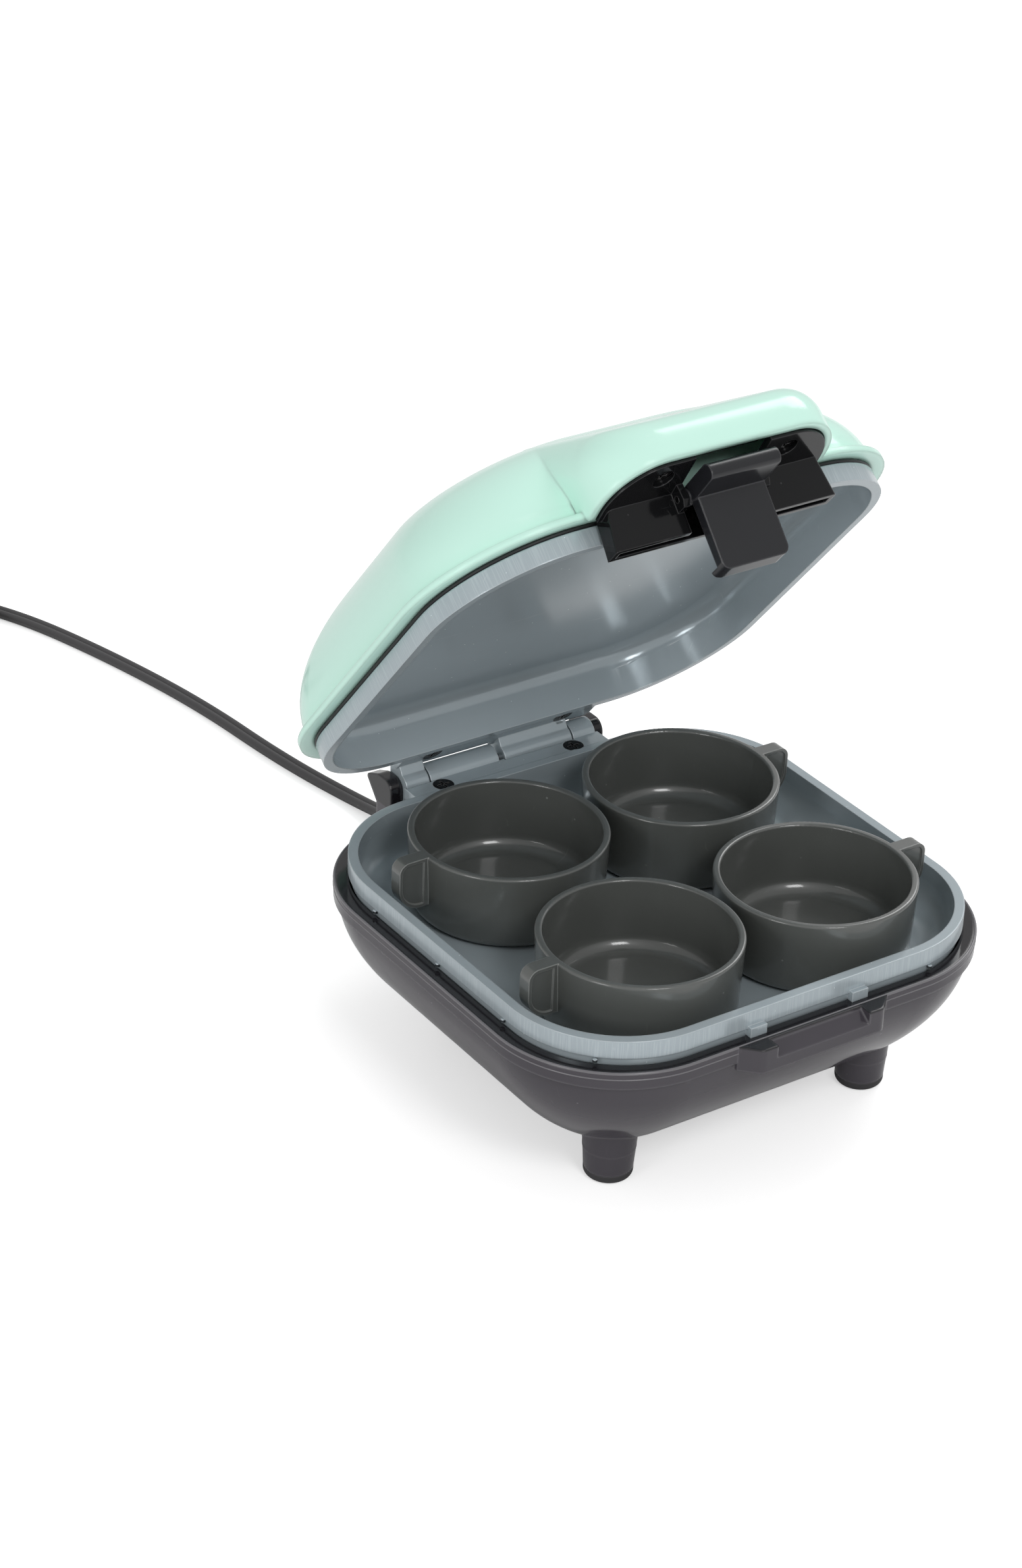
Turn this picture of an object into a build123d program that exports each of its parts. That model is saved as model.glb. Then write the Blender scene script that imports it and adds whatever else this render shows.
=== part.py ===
"""Egg bite maker: a small countertop steamer with a hinged lid, four lift-out cups and a sprung front latch.

Frame: millimetres, +Z up, +X to the right seen from the latch side, -Y towards the user.
The ground is z = 0. The lid stands open, as it is left to fill or empty the cups.
"""
from build123d import *
import math
import os

# ---------------------------------------------------------------- driving dimensions, mm
# Fits shared by all pieces
SEAT = 0.1
SCREW_FIT = 0.05

# Base shell: a moulded bowl with a flange around its mouth
BASE_HALF_WIDTH = 82.0
BASE_HALF_DEPTH = 78.5
BASE_CORNER = 40.5
FLANGE_TOP = 54.5
FLANGE_HEIGHT = 5.5
FLANGE_PLATE = 2.4
LIP_STEP = 1.3
SHELL_WALL = 2.4
SHELL_BOTTOM = 5.5
BASE_SHRINK = 40.5
BASE_POWER = 1.75
BASE_ROUNDNESS = 1.31
CORNER_SHARE = 0.85

# Heated pans: two castings that face each other, inside the outline of the base
PAN_HALF_WIDTH = BASE_HALF_WIDTH - 4.4
PAN_HALF_DEPTH = BASE_HALF_DEPTH - 3.5
PAN_CORNER = BASE_CORNER - 3.5
PAN_RIM = 62.5
PAN_DEPTH = 15.3
PAN_WALL = 2.5
PAN_FLOOR = 2.8
PAN_FILLET = 10.0
DISH_FILLET = 6.0
DISH_OUTER_FILLET = 12.0
BAND_HEIGHT = 6.0
BAND_PROUD = 0.6
PAN_OPENING_GAP = 0.3
CLOSED_GAP = 1.6
TAB_INNER = 15.4
TAB_OUTER = 21.1

# Hinge
HINGE_Y = BASE_HALF_DEPTH + 7.9
HINGE_Z = 60.1
OPEN_ANGLE = 50.0
KNUCKLE_RADIUS = 5.0
PIN_RADIUS = 1.5
PIN_HOLD = 0.02
PIN_RUNNING = 0.06
KNUCKLE_OUTER = 35.5
KNUCKLE_STEP = 26.9
KNUCKLE_GAP = 0.6
MIDDLE_GAP = 2.4
KNUCKLE_CLEARANCE = 0.5
LEAF_HALF = 36.4
LEAF_THICKNESS = 3.5
LEAF_DROP = 0.5
LEAF_START = HINGE_Y - 14.4
LEAF_COVER = 1.0
HINGE_SCREW_X = 24.5
HINGE_SCREW_Y = HINGE_Y - 8.4
HINGE_SCREW_RADIUS = 1.7
HINGE_SCREW_HEAD = 3.4

# Cheeks that stand beside the hinge, and the tail of the shell that carries them
CHEEK_INNER = KNUCKLE_OUTER + 0.5
CHEEK_THICKNESS = 4.0
CHEEK_FRONT = HINGE_Y - 2.6
CHEEK_TOP = 63.6
CHEEK_ROUND = 4.0
CHEEK_CREST = HINGE_Y + 5.0
CHEEK_TIP = HINGE_Y + 12.0
CHEEK_TIP_Z = 60.6
CHEEK_TIP_ROUND = 1.2
TAIL_START = HINGE_Y - 20.4
TAIL_BACK = HINGE_Y + 5.8
TAIL_BOTTOM = 38.0

# Catch under the front flange
CATCH_HALF = 26.8
CATCH_FRONT_HALF = 21.6
CATCH_FRONT = -BASE_HALF_DEPTH - 5.3
CATCH_BOTTOM = 46.6
SLOPE_HALF = 16.5
SLOPE_TOP_Y = -BASE_HALF_DEPTH - 1.0
SLOPE_FOOT_Z = 50.4

# Feet
FOOT_X = BASE_HALF_WIDTH - 35.3
FOOT_Y = BASE_HALF_DEPTH - 31.3
REAR_FOOT_X = FOOT_X - 5.2
REAR_FOOT_Y = FOOT_Y - 7.2
FOOT_TOP_RADIUS = 8.9
FOOT_BOTTOM_RADIUS = 7.4
FOOT_TOP = 24.0
TOWER_FOOT = 10.0
PAD_HEIGHT = 3.0
PAD_ROUND = 2.0
TOWER_RADIUS = 6.5
TOWER_TOP = 36.0
SCREW_RADIUS = 2.0
SCREW_HEAD_RADIUS = 3.6
SCREW_HEAD = 2.4
BOSS_RADIUS = 4.2

# Cups
PAN_INNER_X = PAN_HALF_WIDTH - BAND_PROUD - PAN_WALL
PAN_INNER_Y = PAN_HALF_DEPTH - BAND_PROUD - PAN_WALL
CUP_MARGIN = 10.9
CUP_RADIUS = (min(PAN_INNER_X, PAN_INNER_Y) - CUP_MARGIN) / 2
CUP_BOTTOM_RADIUS = CUP_RADIUS - 1.1
CUP_WALL = 2.2
CUP_FLOOR = 2.2
CUP_RIM = 72.1
CUP_BASE_ROUND = 3.0
CUP_SEAT_GAP = 0.3
CUP_PITCH_X = CUP_RADIUS + 1.3
CUP_PITCH_Y = CUP_RADIUS + 3.3
CUP_CENTRE_Y = -2.6
TAB_CLEARANCE = 2.7
TAB_REACH = PAN_INNER_X - TAB_CLEARANCE - CUP_PITCH_X
TAB_WIDTH = 4.6
TAB_HEIGHT = 16.3
TAB_TOP_ROUND = 3.4
TAB_FOOT_FLAT = 2.0
TAB_FOOT_ROUND = min(TAB_REACH - CUP_RADIUS - TAB_FOOT_FLAT, TAB_HEIGHT / 2 - 0.65)
TAB_BORDER = 1.1
TAB_RECESS = 0.5

# Lid shell, in its closed place
LID_FLANGE_GAP = 1.15
LID_HALF_WIDTH = BASE_HALF_WIDTH + 0.3
LID_HALF_DEPTH = BASE_HALF_DEPTH + 0.2
LID_CORNER = BASE_CORNER + 0.5
LID_FLANGE_HEIGHT = 2.4
LID_STEP = 3.1
LID_RISE = 38.3
LID_SHRINK = 61.0
LID_POWER = 2.03
LID_ROUNDNESS = 2.49
LID_WALL = 2.2

# Hood over the handle, part of the lid shell
HOOD_HALF = 40.2
HOOD_FRONT = -LID_HALF_DEPTH - 23.3
HOOD_CORNER = 19.0
HOOD_BACK_Y = HOOD_FRONT + 52.0
HOOD_BACK_TOP = 106.1
HOOD_FRONT_TOP = 85.6
HOOD_ROUND = 12.0
HOOD_WALL = 2.2
HOOD_EDGE_Y = -LID_HALF_DEPTH - 1.0
HOOD_EDGE_Z = 70.1
HOOD_FRONT_EDGE_Z = 73.8
LENS_Y = HOOD_FRONT + 20.0
LENS_RADIUS = 4.0
LENS_THICKNESS = 2.8
LAMP_RADIUS = 2.6
LAMP_LENGTH = 9.0

# Handle box, under the hood
BOX_TOP_HALF = 35.8
BOX_FOLD_Y = -LID_HALF_DEPTH - 5.6
BOX_FOLD_Z = 70.7
BOX_BOTTOM_HALF = 37.9
BOX_BOTTOM_Y = -LID_HALF_DEPTH - 3.8
BOX_BOTTOM_Z = 58.3
BOX_REAR_Y = -LID_HALF_DEPTH + 2.5
BOX_WALL = 1.7
CEILING_THICKNESS = 2.0
CEILING_GAP = 0.4
CEILING_SET_BACK = 0.8
HANDLE_WELL = 2.6
NOTCH_HALF = 12.8
EAR_THICKNESS = 2.0
HANDLE_SCREW_X = 21.2
HANDLE_SCREW_Y = HOOD_FRONT + 9.0
BORE_DEPTH = 20.0

# Latch
LATCH_HALF = 11.4
LATCH_PIVOT_Y = -LID_HALF_DEPTH - 6.8
LATCH_PIVOT_Z = 67.5
LATCH_PIN_RADIUS = 1.0
LATCH_BARREL = 2.6
LATCH_PLATE = 2.8
LATCH_TOP_Y = LATCH_PIVOT_Y - 3.8
LATCH_FOOT_Y = LATCH_PIVOT_Y - 1.5
LATCH_FOOT_Z = 43.9
HOOK_TIP_Y = LATCH_PIVOT_Y + 4.9
HOOK_HEIGHT = 2.2
GRIP_FRONT_Y = HOOD_FRONT + 0.3
GRIP_TOP_Z = 70.4
GRIP_FOOT_Z = 65.5
GRIP_ROUND = 2.2
LATCH_SPRING_RADIUS = 2.1
LATCH_SPRING_WIRE = 0.35
SPRING_TURNS = 4
SPRING_PITCH = 0.9
SPRING_ROOM = 6.0

# Heaters and what belongs to them
ELEMENT_RADIUS = 3.2
ELEMENT_HALF = min(FOOT_X, REAR_FOOT_Y + 6.7) - 10.7
ELEMENT_BEND = 12.0
ELEMENT_TAIL_X = 9.0
ELEMENT_TAIL_Y = BASE_HALF_DEPTH - 18.5
CLAMP_THICKNESS = 1.0
CLAMP_ARM = 12.0
CLAMP_HALF = 41.0
HEATER_ROOM = ELEMENT_HALF - ELEMENT_RADIUS - CLAMP_ARM / 2
THERMOSTAT_RADIUS = 8.0
THERMOSTAT_SHARE = 0.648
THERMOSTAT_PLACE = (CLAMP_ARM / 2 + THERMOSTAT_RADIUS
                    + THERMOSTAT_SHARE * (HEATER_ROOM - 2 * THERMOSTAT_RADIUS))
FUSE_PLACE_X = CLAMP_ARM / 2 + HEATER_ROOM / 2
FUSE_PLACE_Y = ELEMENT_HALF - 16.0
FUSE_LENGTH = 12.0
FUSE_SPAN = HEATER_ROOM - 4.8
SHIELD_Z = 27.0
SHIELD_THICKNESS = 0.8
SHIELD_HALF_WIDTH = BASE_HALF_WIDTH - 24.0
SHIELD_HALF_DEPTH = BASE_HALF_DEPTH - 22.5
SHIELD_NOTCH = 15.0
BLOCK_Y = 6.0
BLOCK_WIDTH = 24.0
BLOCK_DEPTH = 14.0
BLOCK_HEIGHT = 10.0
LEAD_RADIUS = 1.1
LEAD_STRAIGHT = 12.0
LEAD_RISE_Z = 35.0

# Power cord: a flat two-core lead
CORD_WIDTH = 5.8
GLAND_X = 0.0
GLAND_Z = 26.0
GLAND_RADIUS = 5.0
GLAND_BOSS = 8.0
GLAND_FACE = BASE_HALF_DEPTH - 6.5
GLAND_INNER = GLAND_FACE - 16.0
GLAND_END = GLAND_FACE + 26.0
COIL_CENTRE = (-78.0, 363.0)
COIL_RADIUS = 31.0
COIL_LAYERS = 2
PLUG_ANGLE = 141.0
PLUG_LEAD = 20.0
PLUG_NECK = 16.0
PLUG_GRIP = 20.0
PLUG_WIDTH = 24.0
PLUG_THICKNESS = 15.0

SECTIONS = 7
LID_RIM = PAN_RIM + CLOSED_GAP
LID_FLANGE_BOTTOM = LID_RIM + BAND_HEIGHT + LID_FLANGE_GAP
DISH_START = CUP_RIM + 1.0
LID_DOME_BASE = LID_FLANGE_BOTTOM + LID_FLANGE_HEIGHT
LOWER_KNUCKLES = ((-KNUCKLE_STEP + KNUCKLE_GAP / 2, -MIDDLE_GAP / 2),
                  (KNUCKLE_STEP + KNUCKLE_GAP / 2, KNUCKLE_OUTER))
UPPER_KNUCKLES = ((-KNUCKLE_OUTER, -KNUCKLE_STEP - KNUCKLE_GAP / 2), (MIDDLE_GAP / 2, KNUCKLE_STEP - KNUCKLE_GAP / 2))
ALL_KNUCKLES = LOWER_KNUCKLES + UPPER_KNUCKLES
HINGE_AXIS = Axis((0, HINGE_Y, HINGE_Z), (-1, 0, 0))


# ---------------------------------------------------------------- shapes used by several pieces
def rounded_face(half_width, half_depth, corner, z):
    """Rounded rectangle around the Z axis at height z."""
    return Pos(0, 0, z) * RectangleRounded(2 * half_width, 2 * half_depth, corner)


def rounded_block(half_width, half_depth, corner, bottom, top):
    return extrude(rounded_face(half_width, half_depth, corner, bottom), top - bottom)


def bowl(half_width, half_depth, corner, z_mouth, z_end, shrink, power, roundness, share):
    """Solid bowl or dome: its outline shrinks along a superellipse from the mouth to the flat end."""
    sections = []
    for index in range(SECTIONS + 1):
        station = math.sin(math.pi / 2 * index / SECTIONS)
        inset = shrink * (1 - (1 - station**power) ** (1 / roundness))
        smaller_half = min(half_width, half_depth) - inset
        radius = min(corner - share * inset, 0.9 * smaller_half)
        z = z_mouth + (z_end - z_mouth) * station
        sections.append(rounded_face(half_width - inset, half_depth - inset, radius, z))
    return loft(sections)


def side_extrusion(points, half_width):
    """Solid with a profile in the YZ plane, as wide as twice half_width."""
    wire = Polyline([(0, y, z) for y, z in points], close=True)
    return extrude(make_face(wire), half_width, both=True)


def countersunk_screw(shank, head, length):
    """Screw hanging down from z = 0, with its countersunk head flush."""
    body = Pos(0, 0, -length / 2) * Cylinder(shank, length)
    cone = Pos(0, 0, -(head - shank) / 2) * Cone(shank, head, head - shank)
    slot = Box(2 * head * 0.6, 0.8, 1.2)
    return body + cone - slot - Rot(0, 0, 90) * slot


def pan_screw(shank, head, head_height, length):
    """Screw standing up from z = 0, with its round head below."""
    body = Pos(0, 0, length / 2) * Cylinder(shank, length)
    cap = Pos(0, 0, -head_height / 2) * Cylinder(head, head_height)
    slot = Pos(0, 0, -head_height) * Box(2 * head * 0.6, 0.8, 1.4)
    return body + cap - slot - Rot(0, 0, 90) * slot


def corners(x, y):
    return [(sx * x, sy * y) for sx in (-1, 1) for sy in (-1, 1)]


def foot_places():
    """Front left, back left, front right and back right; the back feet stand closer together."""
    return [(-FOOT_X, -FOOT_Y), (-REAR_FOOT_X, REAR_FOOT_Y), (FOOT_X, -FOOT_Y), (REAR_FOOT_X, REAR_FOOT_Y)]


# ---------------------------------------------------------------- base
def shell_outline(grow, z_mouth, z_end):
    """The bowl of the base, grown or shrunk all round."""
    half_width = BASE_HALF_WIDTH - LIP_STEP + grow
    half_depth = BASE_HALF_DEPTH - LIP_STEP + grow
    corner = BASE_CORNER - LIP_STEP + grow
    return bowl(half_width, half_depth, corner, z_mouth, z_end, BASE_SHRINK, BASE_POWER,
                BASE_ROUNDNESS, CORNER_SHARE)


def catch_block():
    """Bulge of the front flange: the latch hooks under it and its sloped face swings the latch out."""
    plan = Polyline((-CATCH_HALF, SLOPE_TOP_Y + 4), (-CATCH_HALF, -BASE_HALF_DEPTH),
                    (-CATCH_FRONT_HALF, CATCH_FRONT), (CATCH_FRONT_HALF, CATCH_FRONT),
                    (CATCH_HALF, -BASE_HALF_DEPTH), (CATCH_HALF, SLOPE_TOP_Y + 4), close=True)
    block = extrude(Pos(0, 0, CATCH_BOTTOM) * make_face(plan), FLANGE_TOP - CATCH_BOTTOM)
    block = fillet(block.edges().filter_by(Axis.Z).group_by(Axis.Y)[0], 3.0)
    ramp = side_extrusion([(SLOPE_TOP_Y, FLANGE_TOP + 1), (SLOPE_TOP_Y, FLANGE_TOP - 1),
                           (CATCH_FRONT - 1, SLOPE_FOOT_Z - 0.6), (CATCH_FRONT - 1, FLANGE_TOP + 1)],
                          SLOPE_HALF)
    return block - ramp


def hinge_tail():
    """Hollow tail behind the bowl, with the two cheeks that flank the hinge."""
    outer_x = CHEEK_INNER + CHEEK_THICKNESS
    depth = TAIL_BACK - TAIL_START
    tail = Pos(0, TAIL_START + depth / 2, (TAIL_BOTTOM + FLANGE_TOP) / 2) * Box(
        2 * outer_x, depth, FLANGE_TOP - TAIL_BOTTOM)
    tail = fillet(tail.edges().filter_by(Axis.X).group_by(Axis.Y)[-1].group_by(Axis.Z)[0], 12.0)
    hollow = Pos(0, TAIL_START + depth / 2 - SHELL_WALL, (TAIL_BOTTOM + FLANGE_TOP) / 2) * Box(
        2 * (outer_x - SHELL_WALL), depth, FLANGE_TOP - TAIL_BOTTOM - 2 * SHELL_WALL)
    hollow = fillet(hollow.edges().filter_by(Axis.X).group_by(Axis.Y)[-1].group_by(Axis.Z)[0], 9.6)
    tail -= hollow
    cheek = side_extrusion([(CHEEK_FRONT, FLANGE_TOP - 1), (CHEEK_FRONT, CHEEK_TOP), (CHEEK_CREST, CHEEK_TOP),
                            (CHEEK_TIP, CHEEK_TIP_Z), (TAIL_BACK, FLANGE_TOP - 1)], CHEEK_THICKNESS / 2)
    cheek = fillet(cheek.edges().filter_by(Axis.X).group_by(Axis.Z)[-1], CHEEK_ROUND)
    cheek = fillet(cheek.edges().filter_by(Axis.X).sort_by(Axis.Y)[-1], CHEEK_TIP_ROUND)
    for side in (-1, 1):
        tail += Pos(side * (CHEEK_INNER + CHEEK_THICKNESS / 2), 0, 0) * cheek
    return tail


def foot_outer():
    return Pos(0, 0, (PAD_HEIGHT + FOOT_TOP) / 2) * Cone(
        FOOT_BOTTOM_RADIUS, FOOT_TOP_RADIUS, FOOT_TOP - PAD_HEIGHT)


def base_shell():
    lip_bottom = FLANGE_TOP - FLANGE_HEIGHT
    lip = rounded_block(BASE_HALF_WIDTH, BASE_HALF_DEPTH, BASE_CORNER, lip_bottom, FLANGE_TOP)
    lip = fillet(lip.edges().group_by(Axis.Z)[-1], 0.8)
    solid = lip + shell_outline(0, lip_bottom, SHELL_BOTTOM) + catch_block()
    inner = shell_outline(-SHELL_WALL, lip_bottom, SHELL_BOTTOM + SHELL_WALL)
    inner += rounded_block(BASE_HALF_WIDTH - LIP_STEP - SHELL_WALL, BASE_HALF_DEPTH - LIP_STEP - SHELL_WALL,
                           BASE_CORNER - LIP_STEP - SHELL_WALL, lip_bottom, FLANGE_TOP - FLANGE_PLATE)
    room = PAN_OPENING_GAP - BAND_PROUD
    opening = rounded_block(PAN_HALF_WIDTH + room, PAN_HALF_DEPTH + room, PAN_CORNER + room, lip_bottom,
                            FLANGE_TOP + 1)
    tail = hinge_tail() - shell_outline(-SHELL_WALL / 2, lip_bottom, SHELL_BOTTOM)
    tail -= rounded_block(BASE_HALF_WIDTH - LIP_STEP, BASE_HALF_DEPTH - LIP_STEP, BASE_CORNER - LIP_STEP,
                          lip_bottom, FLANGE_TOP + 1)
    solid += tail
    for x, y in foot_places():
        solid += Pos(x, y, 0) * foot_outer()
    gland = Pos(GLAND_X, (GLAND_FACE + GLAND_INNER + 3) / 2, GLAND_Z) * Rot(90, 0, 0) * Cylinder(
        GLAND_BOSS, GLAND_FACE - GLAND_INNER - 3)
    solid = solid - inner - opening + gland
    for x, y in foot_places():
        tower = Pos(x, y, (TOWER_FOOT + TOWER_TOP) / 2) * Cylinder(TOWER_RADIUS, TOWER_TOP - TOWER_FOOT)
        step = Pos(x, y, (TOWER_FOOT + SHIELD_Z) / 2) * Cylinder(TOWER_RADIUS + 1.5, SHIELD_Z - TOWER_FOOT)
        solid = solid + tower + step
        well_top = TOWER_TOP - 3
        solid -= Pos(x, y, well_top / 2) * Cylinder(SCREW_HEAD_RADIUS + 0.6, well_top)
        solid -= Pos(x, y, TOWER_TOP) * Cylinder(SCREW_RADIUS + 0.2, 10)
    for side in (-1, 1):
        post_top = PAN_RIM - LEAF_DROP - LEAF_THICKNESS
        post_front = PAN_HALF_DEPTH + 0.5
        post_back = HINGE_Y - KNUCKLE_RADIUS - KNUCKLE_CLEARANCE
        post = Pos(side * HINGE_SCREW_X, (post_front + post_back) / 2, (FLANGE_TOP - 8 + post_top) / 2) * Box(
            8.4, post_back - post_front, post_top - FLANGE_TOP + 8)
        solid += fillet(post.edges().filter_by(Axis.Z).group_by(Axis.Y)[-1], 3.0)
        solid -= Pos(side * HINGE_SCREW_X, HINGE_SCREW_Y, post_top) * Cylinder(HINGE_SCREW_RADIUS + SCREW_FIT, 22)
    solid -= Pos(GLAND_X, GLAND_FACE, GLAND_Z) * Rot(90, 0, 0) * Cylinder(GLAND_RADIUS + SEAT, 60)
    return solid


def lower_pan():
    """Heated pan of the base, carried on the shell by its leaf, its front tabs and four bosses."""
    pan = pan_casting(FLANGE_TOP - PAN_RIM, PAN_HALF_DEPTH + 1.6, HINGE_Z - PAN_RIM, LOWER_KNUCKLES,
                      PAN_FILLET, PAN_FILLET + PAN_WALL)
    pan_bottom = -PAN_DEPTH - PAN_FLOOR
    boss_length = PAN_RIM + pan_bottom - TOWER_TOP
    for x, y in foot_places():
        pan += Pos(x, y, pan_bottom - boss_length / 2) * Cylinder(BOSS_RADIUS, boss_length)
        pan -= Pos(x, y, pan_bottom - boss_length / 2) * Cylinder(SCREW_RADIUS + SCREW_FIT, boss_length + 1)
    boss_length = 2 * ELEMENT_RADIUS + 2 * SEAT
    pan += Pos(0, 0, pan_bottom - boss_length / 2) * Cylinder(BOSS_RADIUS, boss_length)
    pan -= Pos(0, 0, pan_bottom - boss_length / 2) * Cylinder(1.5 + SCREW_FIT, boss_length)
    return Pos(0, 0, PAN_RIM) * pan


# ---------------------------------------------------------------- the pan casting, used twice
def knuckle(span, drop, rise, joins_level):
    """Hinge knuckle with the arm that joins it to the leaf; the hinge axis lies at height rise."""
    start, end = span
    width = end - start
    ring = Pos((start + end) / 2, HINGE_Y, rise) * Rot(0, 90, 0) * Cylinder(KNUCKLE_RADIUS, width)
    if joins_level:
        arm = [(LEAF_START, drop), (LEAF_START, drop - LEAF_THICKNESS), (HINGE_Y, drop - LEAF_THICKNESS),
               (HINGE_Y, drop)]
    else:
        arm = [(LEAF_START, drop), (LEAF_START, drop - LEAF_THICKNESS), (HINGE_Y - 1.4, drop - LEAF_THICKNESS),
               (HINGE_Y + 3.5, rise - 3.5), (HINGE_Y, rise), (HINGE_Y - 4.7, rise - 1.7), (HINGE_Y - 5.6, drop)]
    return ring + Pos((start + end) / 2, 0, 0) * side_extrusion(arm, width / 2)


def pan_casting(seat_z, tab_y, axis_rise, knuckles, inner_fillet, outer_fillet):
    """Shallow rectangular pan with a proud band round its rim and a hinge leaf behind.

    The rim lies at z = 0 and the pan hangs below it. Its standing tabs end at seat_z.
    """
    body_width = PAN_HALF_WIDTH - BAND_PROUD
    body_depth = PAN_HALF_DEPTH - BAND_PROUD
    body_corner = PAN_CORNER - BAND_PROUD
    bottom = -PAN_DEPTH - PAN_FLOOR
    body = rounded_block(body_width, body_depth, body_corner, bottom, 0)
    body = fillet(body.edges().group_by(Axis.Z)[0], outer_fillet)
    band = rounded_block(PAN_HALF_WIDTH, PAN_HALF_DEPTH, PAN_CORNER, -BAND_HEIGHT, 0)
    band = fillet(band.edges().group_by(Axis.Z)[0], 0.5)
    hollow = rounded_block(body_width - PAN_WALL, body_depth - PAN_WALL, body_corner - PAN_WALL,
                           -PAN_DEPTH, 1)
    hollow = fillet(hollow.edges().group_by(Axis.Z)[0], inner_fillet)
    leaf_depth = HINGE_Y - KNUCKLE_RADIUS + 0.6 - LEAF_START
    leaf = Pos(0, LEAF_START + leaf_depth / 2, -LEAF_DROP - LEAF_THICKNESS / 2) * Box(
        2 * LEAF_HALF, leaf_depth, LEAF_THICKNESS)
    pan = body + band + leaf
    if axis_rise > 0:
        cover_depth = HINGE_Y - LEAF_COVER - LEAF_START
        pan += Pos(0, LEAF_START + cover_depth / 2, -LEAF_DROP - LEAF_THICKNESS / 2) * Box(
            2 * KNUCKLE_OUTER, cover_depth, LEAF_THICKNESS)
    for side in (-1, 1):
        tab_x = side * (TAB_INNER + TAB_OUTER) / 2
        tab_top = -BAND_HEIGHT + 1.2
        tab_start = PAN_HALF_DEPTH - BAND_PROUD - 1
        tab = Pos(tab_x, -(tab_y + tab_start) / 2, (seat_z + tab_top) / 2) * Box(
            TAB_OUTER - TAB_INNER, tab_y - tab_start, tab_top - seat_z)
        pan += tab
    pan -= hollow
    taken = LOWER_KNUCKLES if axis_rise > 0 else UPPER_KNUCKLES
    if axis_rise > 0:
        taken = tuple((-end, -start) for start, end in taken)
    for start, end in taken:
        clear = Pos((start + end) / 2, HINGE_Y, axis_rise) * Rot(0, 90, 0) * Cylinder(
            KNUCKLE_RADIUS + KNUCKLE_CLEARANCE, end - start + 2 * KNUCKLE_GAP)
        pan -= clear
    for span in knuckles:
        pan += knuckle(span, -LEAF_DROP, axis_rise, axis_rise < 0)
    pin_clearance = PIN_HOLD if axis_rise < 0 else PIN_RUNNING
    pan -= Pos(0, HINGE_Y, axis_rise) * Rot(0, 90, 0) * Cylinder(PIN_RADIUS + pin_clearance, 4 * KNUCKLE_OUTER)
    for side in (-1, 1):
        place = Pos(side * HINGE_SCREW_X, HINGE_SCREW_Y, -LEAF_DROP)
        pan -= place * Cylinder(HINGE_SCREW_RADIUS + SCREW_FIT, 3 * LEAF_THICKNESS)
        rise = HINGE_SCREW_HEAD - HINGE_SCREW_RADIUS
        pan -= place * Pos(0, 0, -rise / 2) * Cone(HINGE_SCREW_RADIUS + SCREW_FIT,
                                                   HINGE_SCREW_HEAD + SCREW_FIT, rise)
        pan -= place * Pos(0, 0, 0.5) * Cylinder(HINGE_SCREW_HEAD + SCREW_FIT, 1)
    return pan


def upper_casting():
    """Pan of the lid: the same casting upside down, with its hinge axis beyond its rim."""
    turned = tuple((-end, -start) for start, end in UPPER_KNUCKLES)
    pan = pan_casting(LID_RIM - LID_FLANGE_BOTTOM, PAN_HALF_DEPTH, LID_RIM - HINGE_Z, turned,
                      DISH_FILLET, DISH_OUTER_FILLET)
    return Pos(0, 0, LID_RIM) * Rot(0, 180, 0) * pan


def upper_pan_rim():
    """Wall of the lid's pan with its band and hinge leaf, up to just above the cups."""
    below = Pos(0, 0, DISH_START - BASE_HALF_WIDTH) * Box(4 * BASE_HALF_WIDTH, 4 * BASE_HALF_WIDTH, 2 * BASE_HALF_WIDTH)
    return upper_casting() & below


def upper_pan():
    """Dished floor of the lid's pan, in one with the wall."""
    above = Pos(0, 0, DISH_START + BASE_HALF_WIDTH) * Box(4 * BASE_HALF_WIDTH, 4 * BASE_HALF_WIDTH, 2 * BASE_HALF_WIDTH)
    return upper_casting() & above


def hinge_screw():
    return countersunk_screw(HINGE_SCREW_RADIUS, HINGE_SCREW_HEAD, 12.0)


def hinge_pin():
    length = 2 * (CHEEK_INNER - 0.4)
    pin = Pos(0, HINGE_Y, HINGE_Z) * Rot(0, 90, 0) * Cylinder(PIN_RADIUS, length)
    return chamfer(pin.edges(), 0.3)


# ---------------------------------------------------------------- feet and housing screws
def foot_pad():
    pad = Pos(0, 0, PAD_HEIGHT / 2) * Cylinder(FOOT_BOTTOM_RADIUS, PAD_HEIGHT)
    pad = fillet(pad.edges().group_by(Axis.Z)[0], PAD_ROUND)
    return pad + Pos(0, 0, PAD_HEIGHT + 2.5) * Cylinder(SCREW_HEAD_RADIUS + 0.5, 5)


def housing_screw():
    return Pos(0, 0, TOWER_TOP - 3) * pan_screw(SCREW_RADIUS, SCREW_HEAD_RADIUS, SCREW_HEAD, 9.5)


# ---------------------------------------------------------------- cups
def cup_height():
    return PAN_RIM - PAN_DEPTH + CUP_SEAT_GAP


def finger_tab(start, width, inset):
    """Upright tab with its outer corners rounded, smaller all round by the inset."""
    foot = CUP_RIM - TAB_HEIGHT + inset
    top = CUP_RIM - inset
    reach = TAB_REACH - inset - start
    tab = Pos(start + reach / 2, 0, (foot + top) / 2) * Box(reach, width, top - foot)
    outer_edges = tab.edges().filter_by(Axis.Y).group_by(Axis.X)[-1]
    tab = fillet(outer_edges.group_by(Axis.Z)[-1], TAB_TOP_ROUND - inset)
    outer_edges = tab.edges().filter_by(Axis.Y).group_by(Axis.X)[-1]
    return fillet(outer_edges.group_by(Axis.Z)[0], TAB_FOOT_ROUND - inset)


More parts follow.
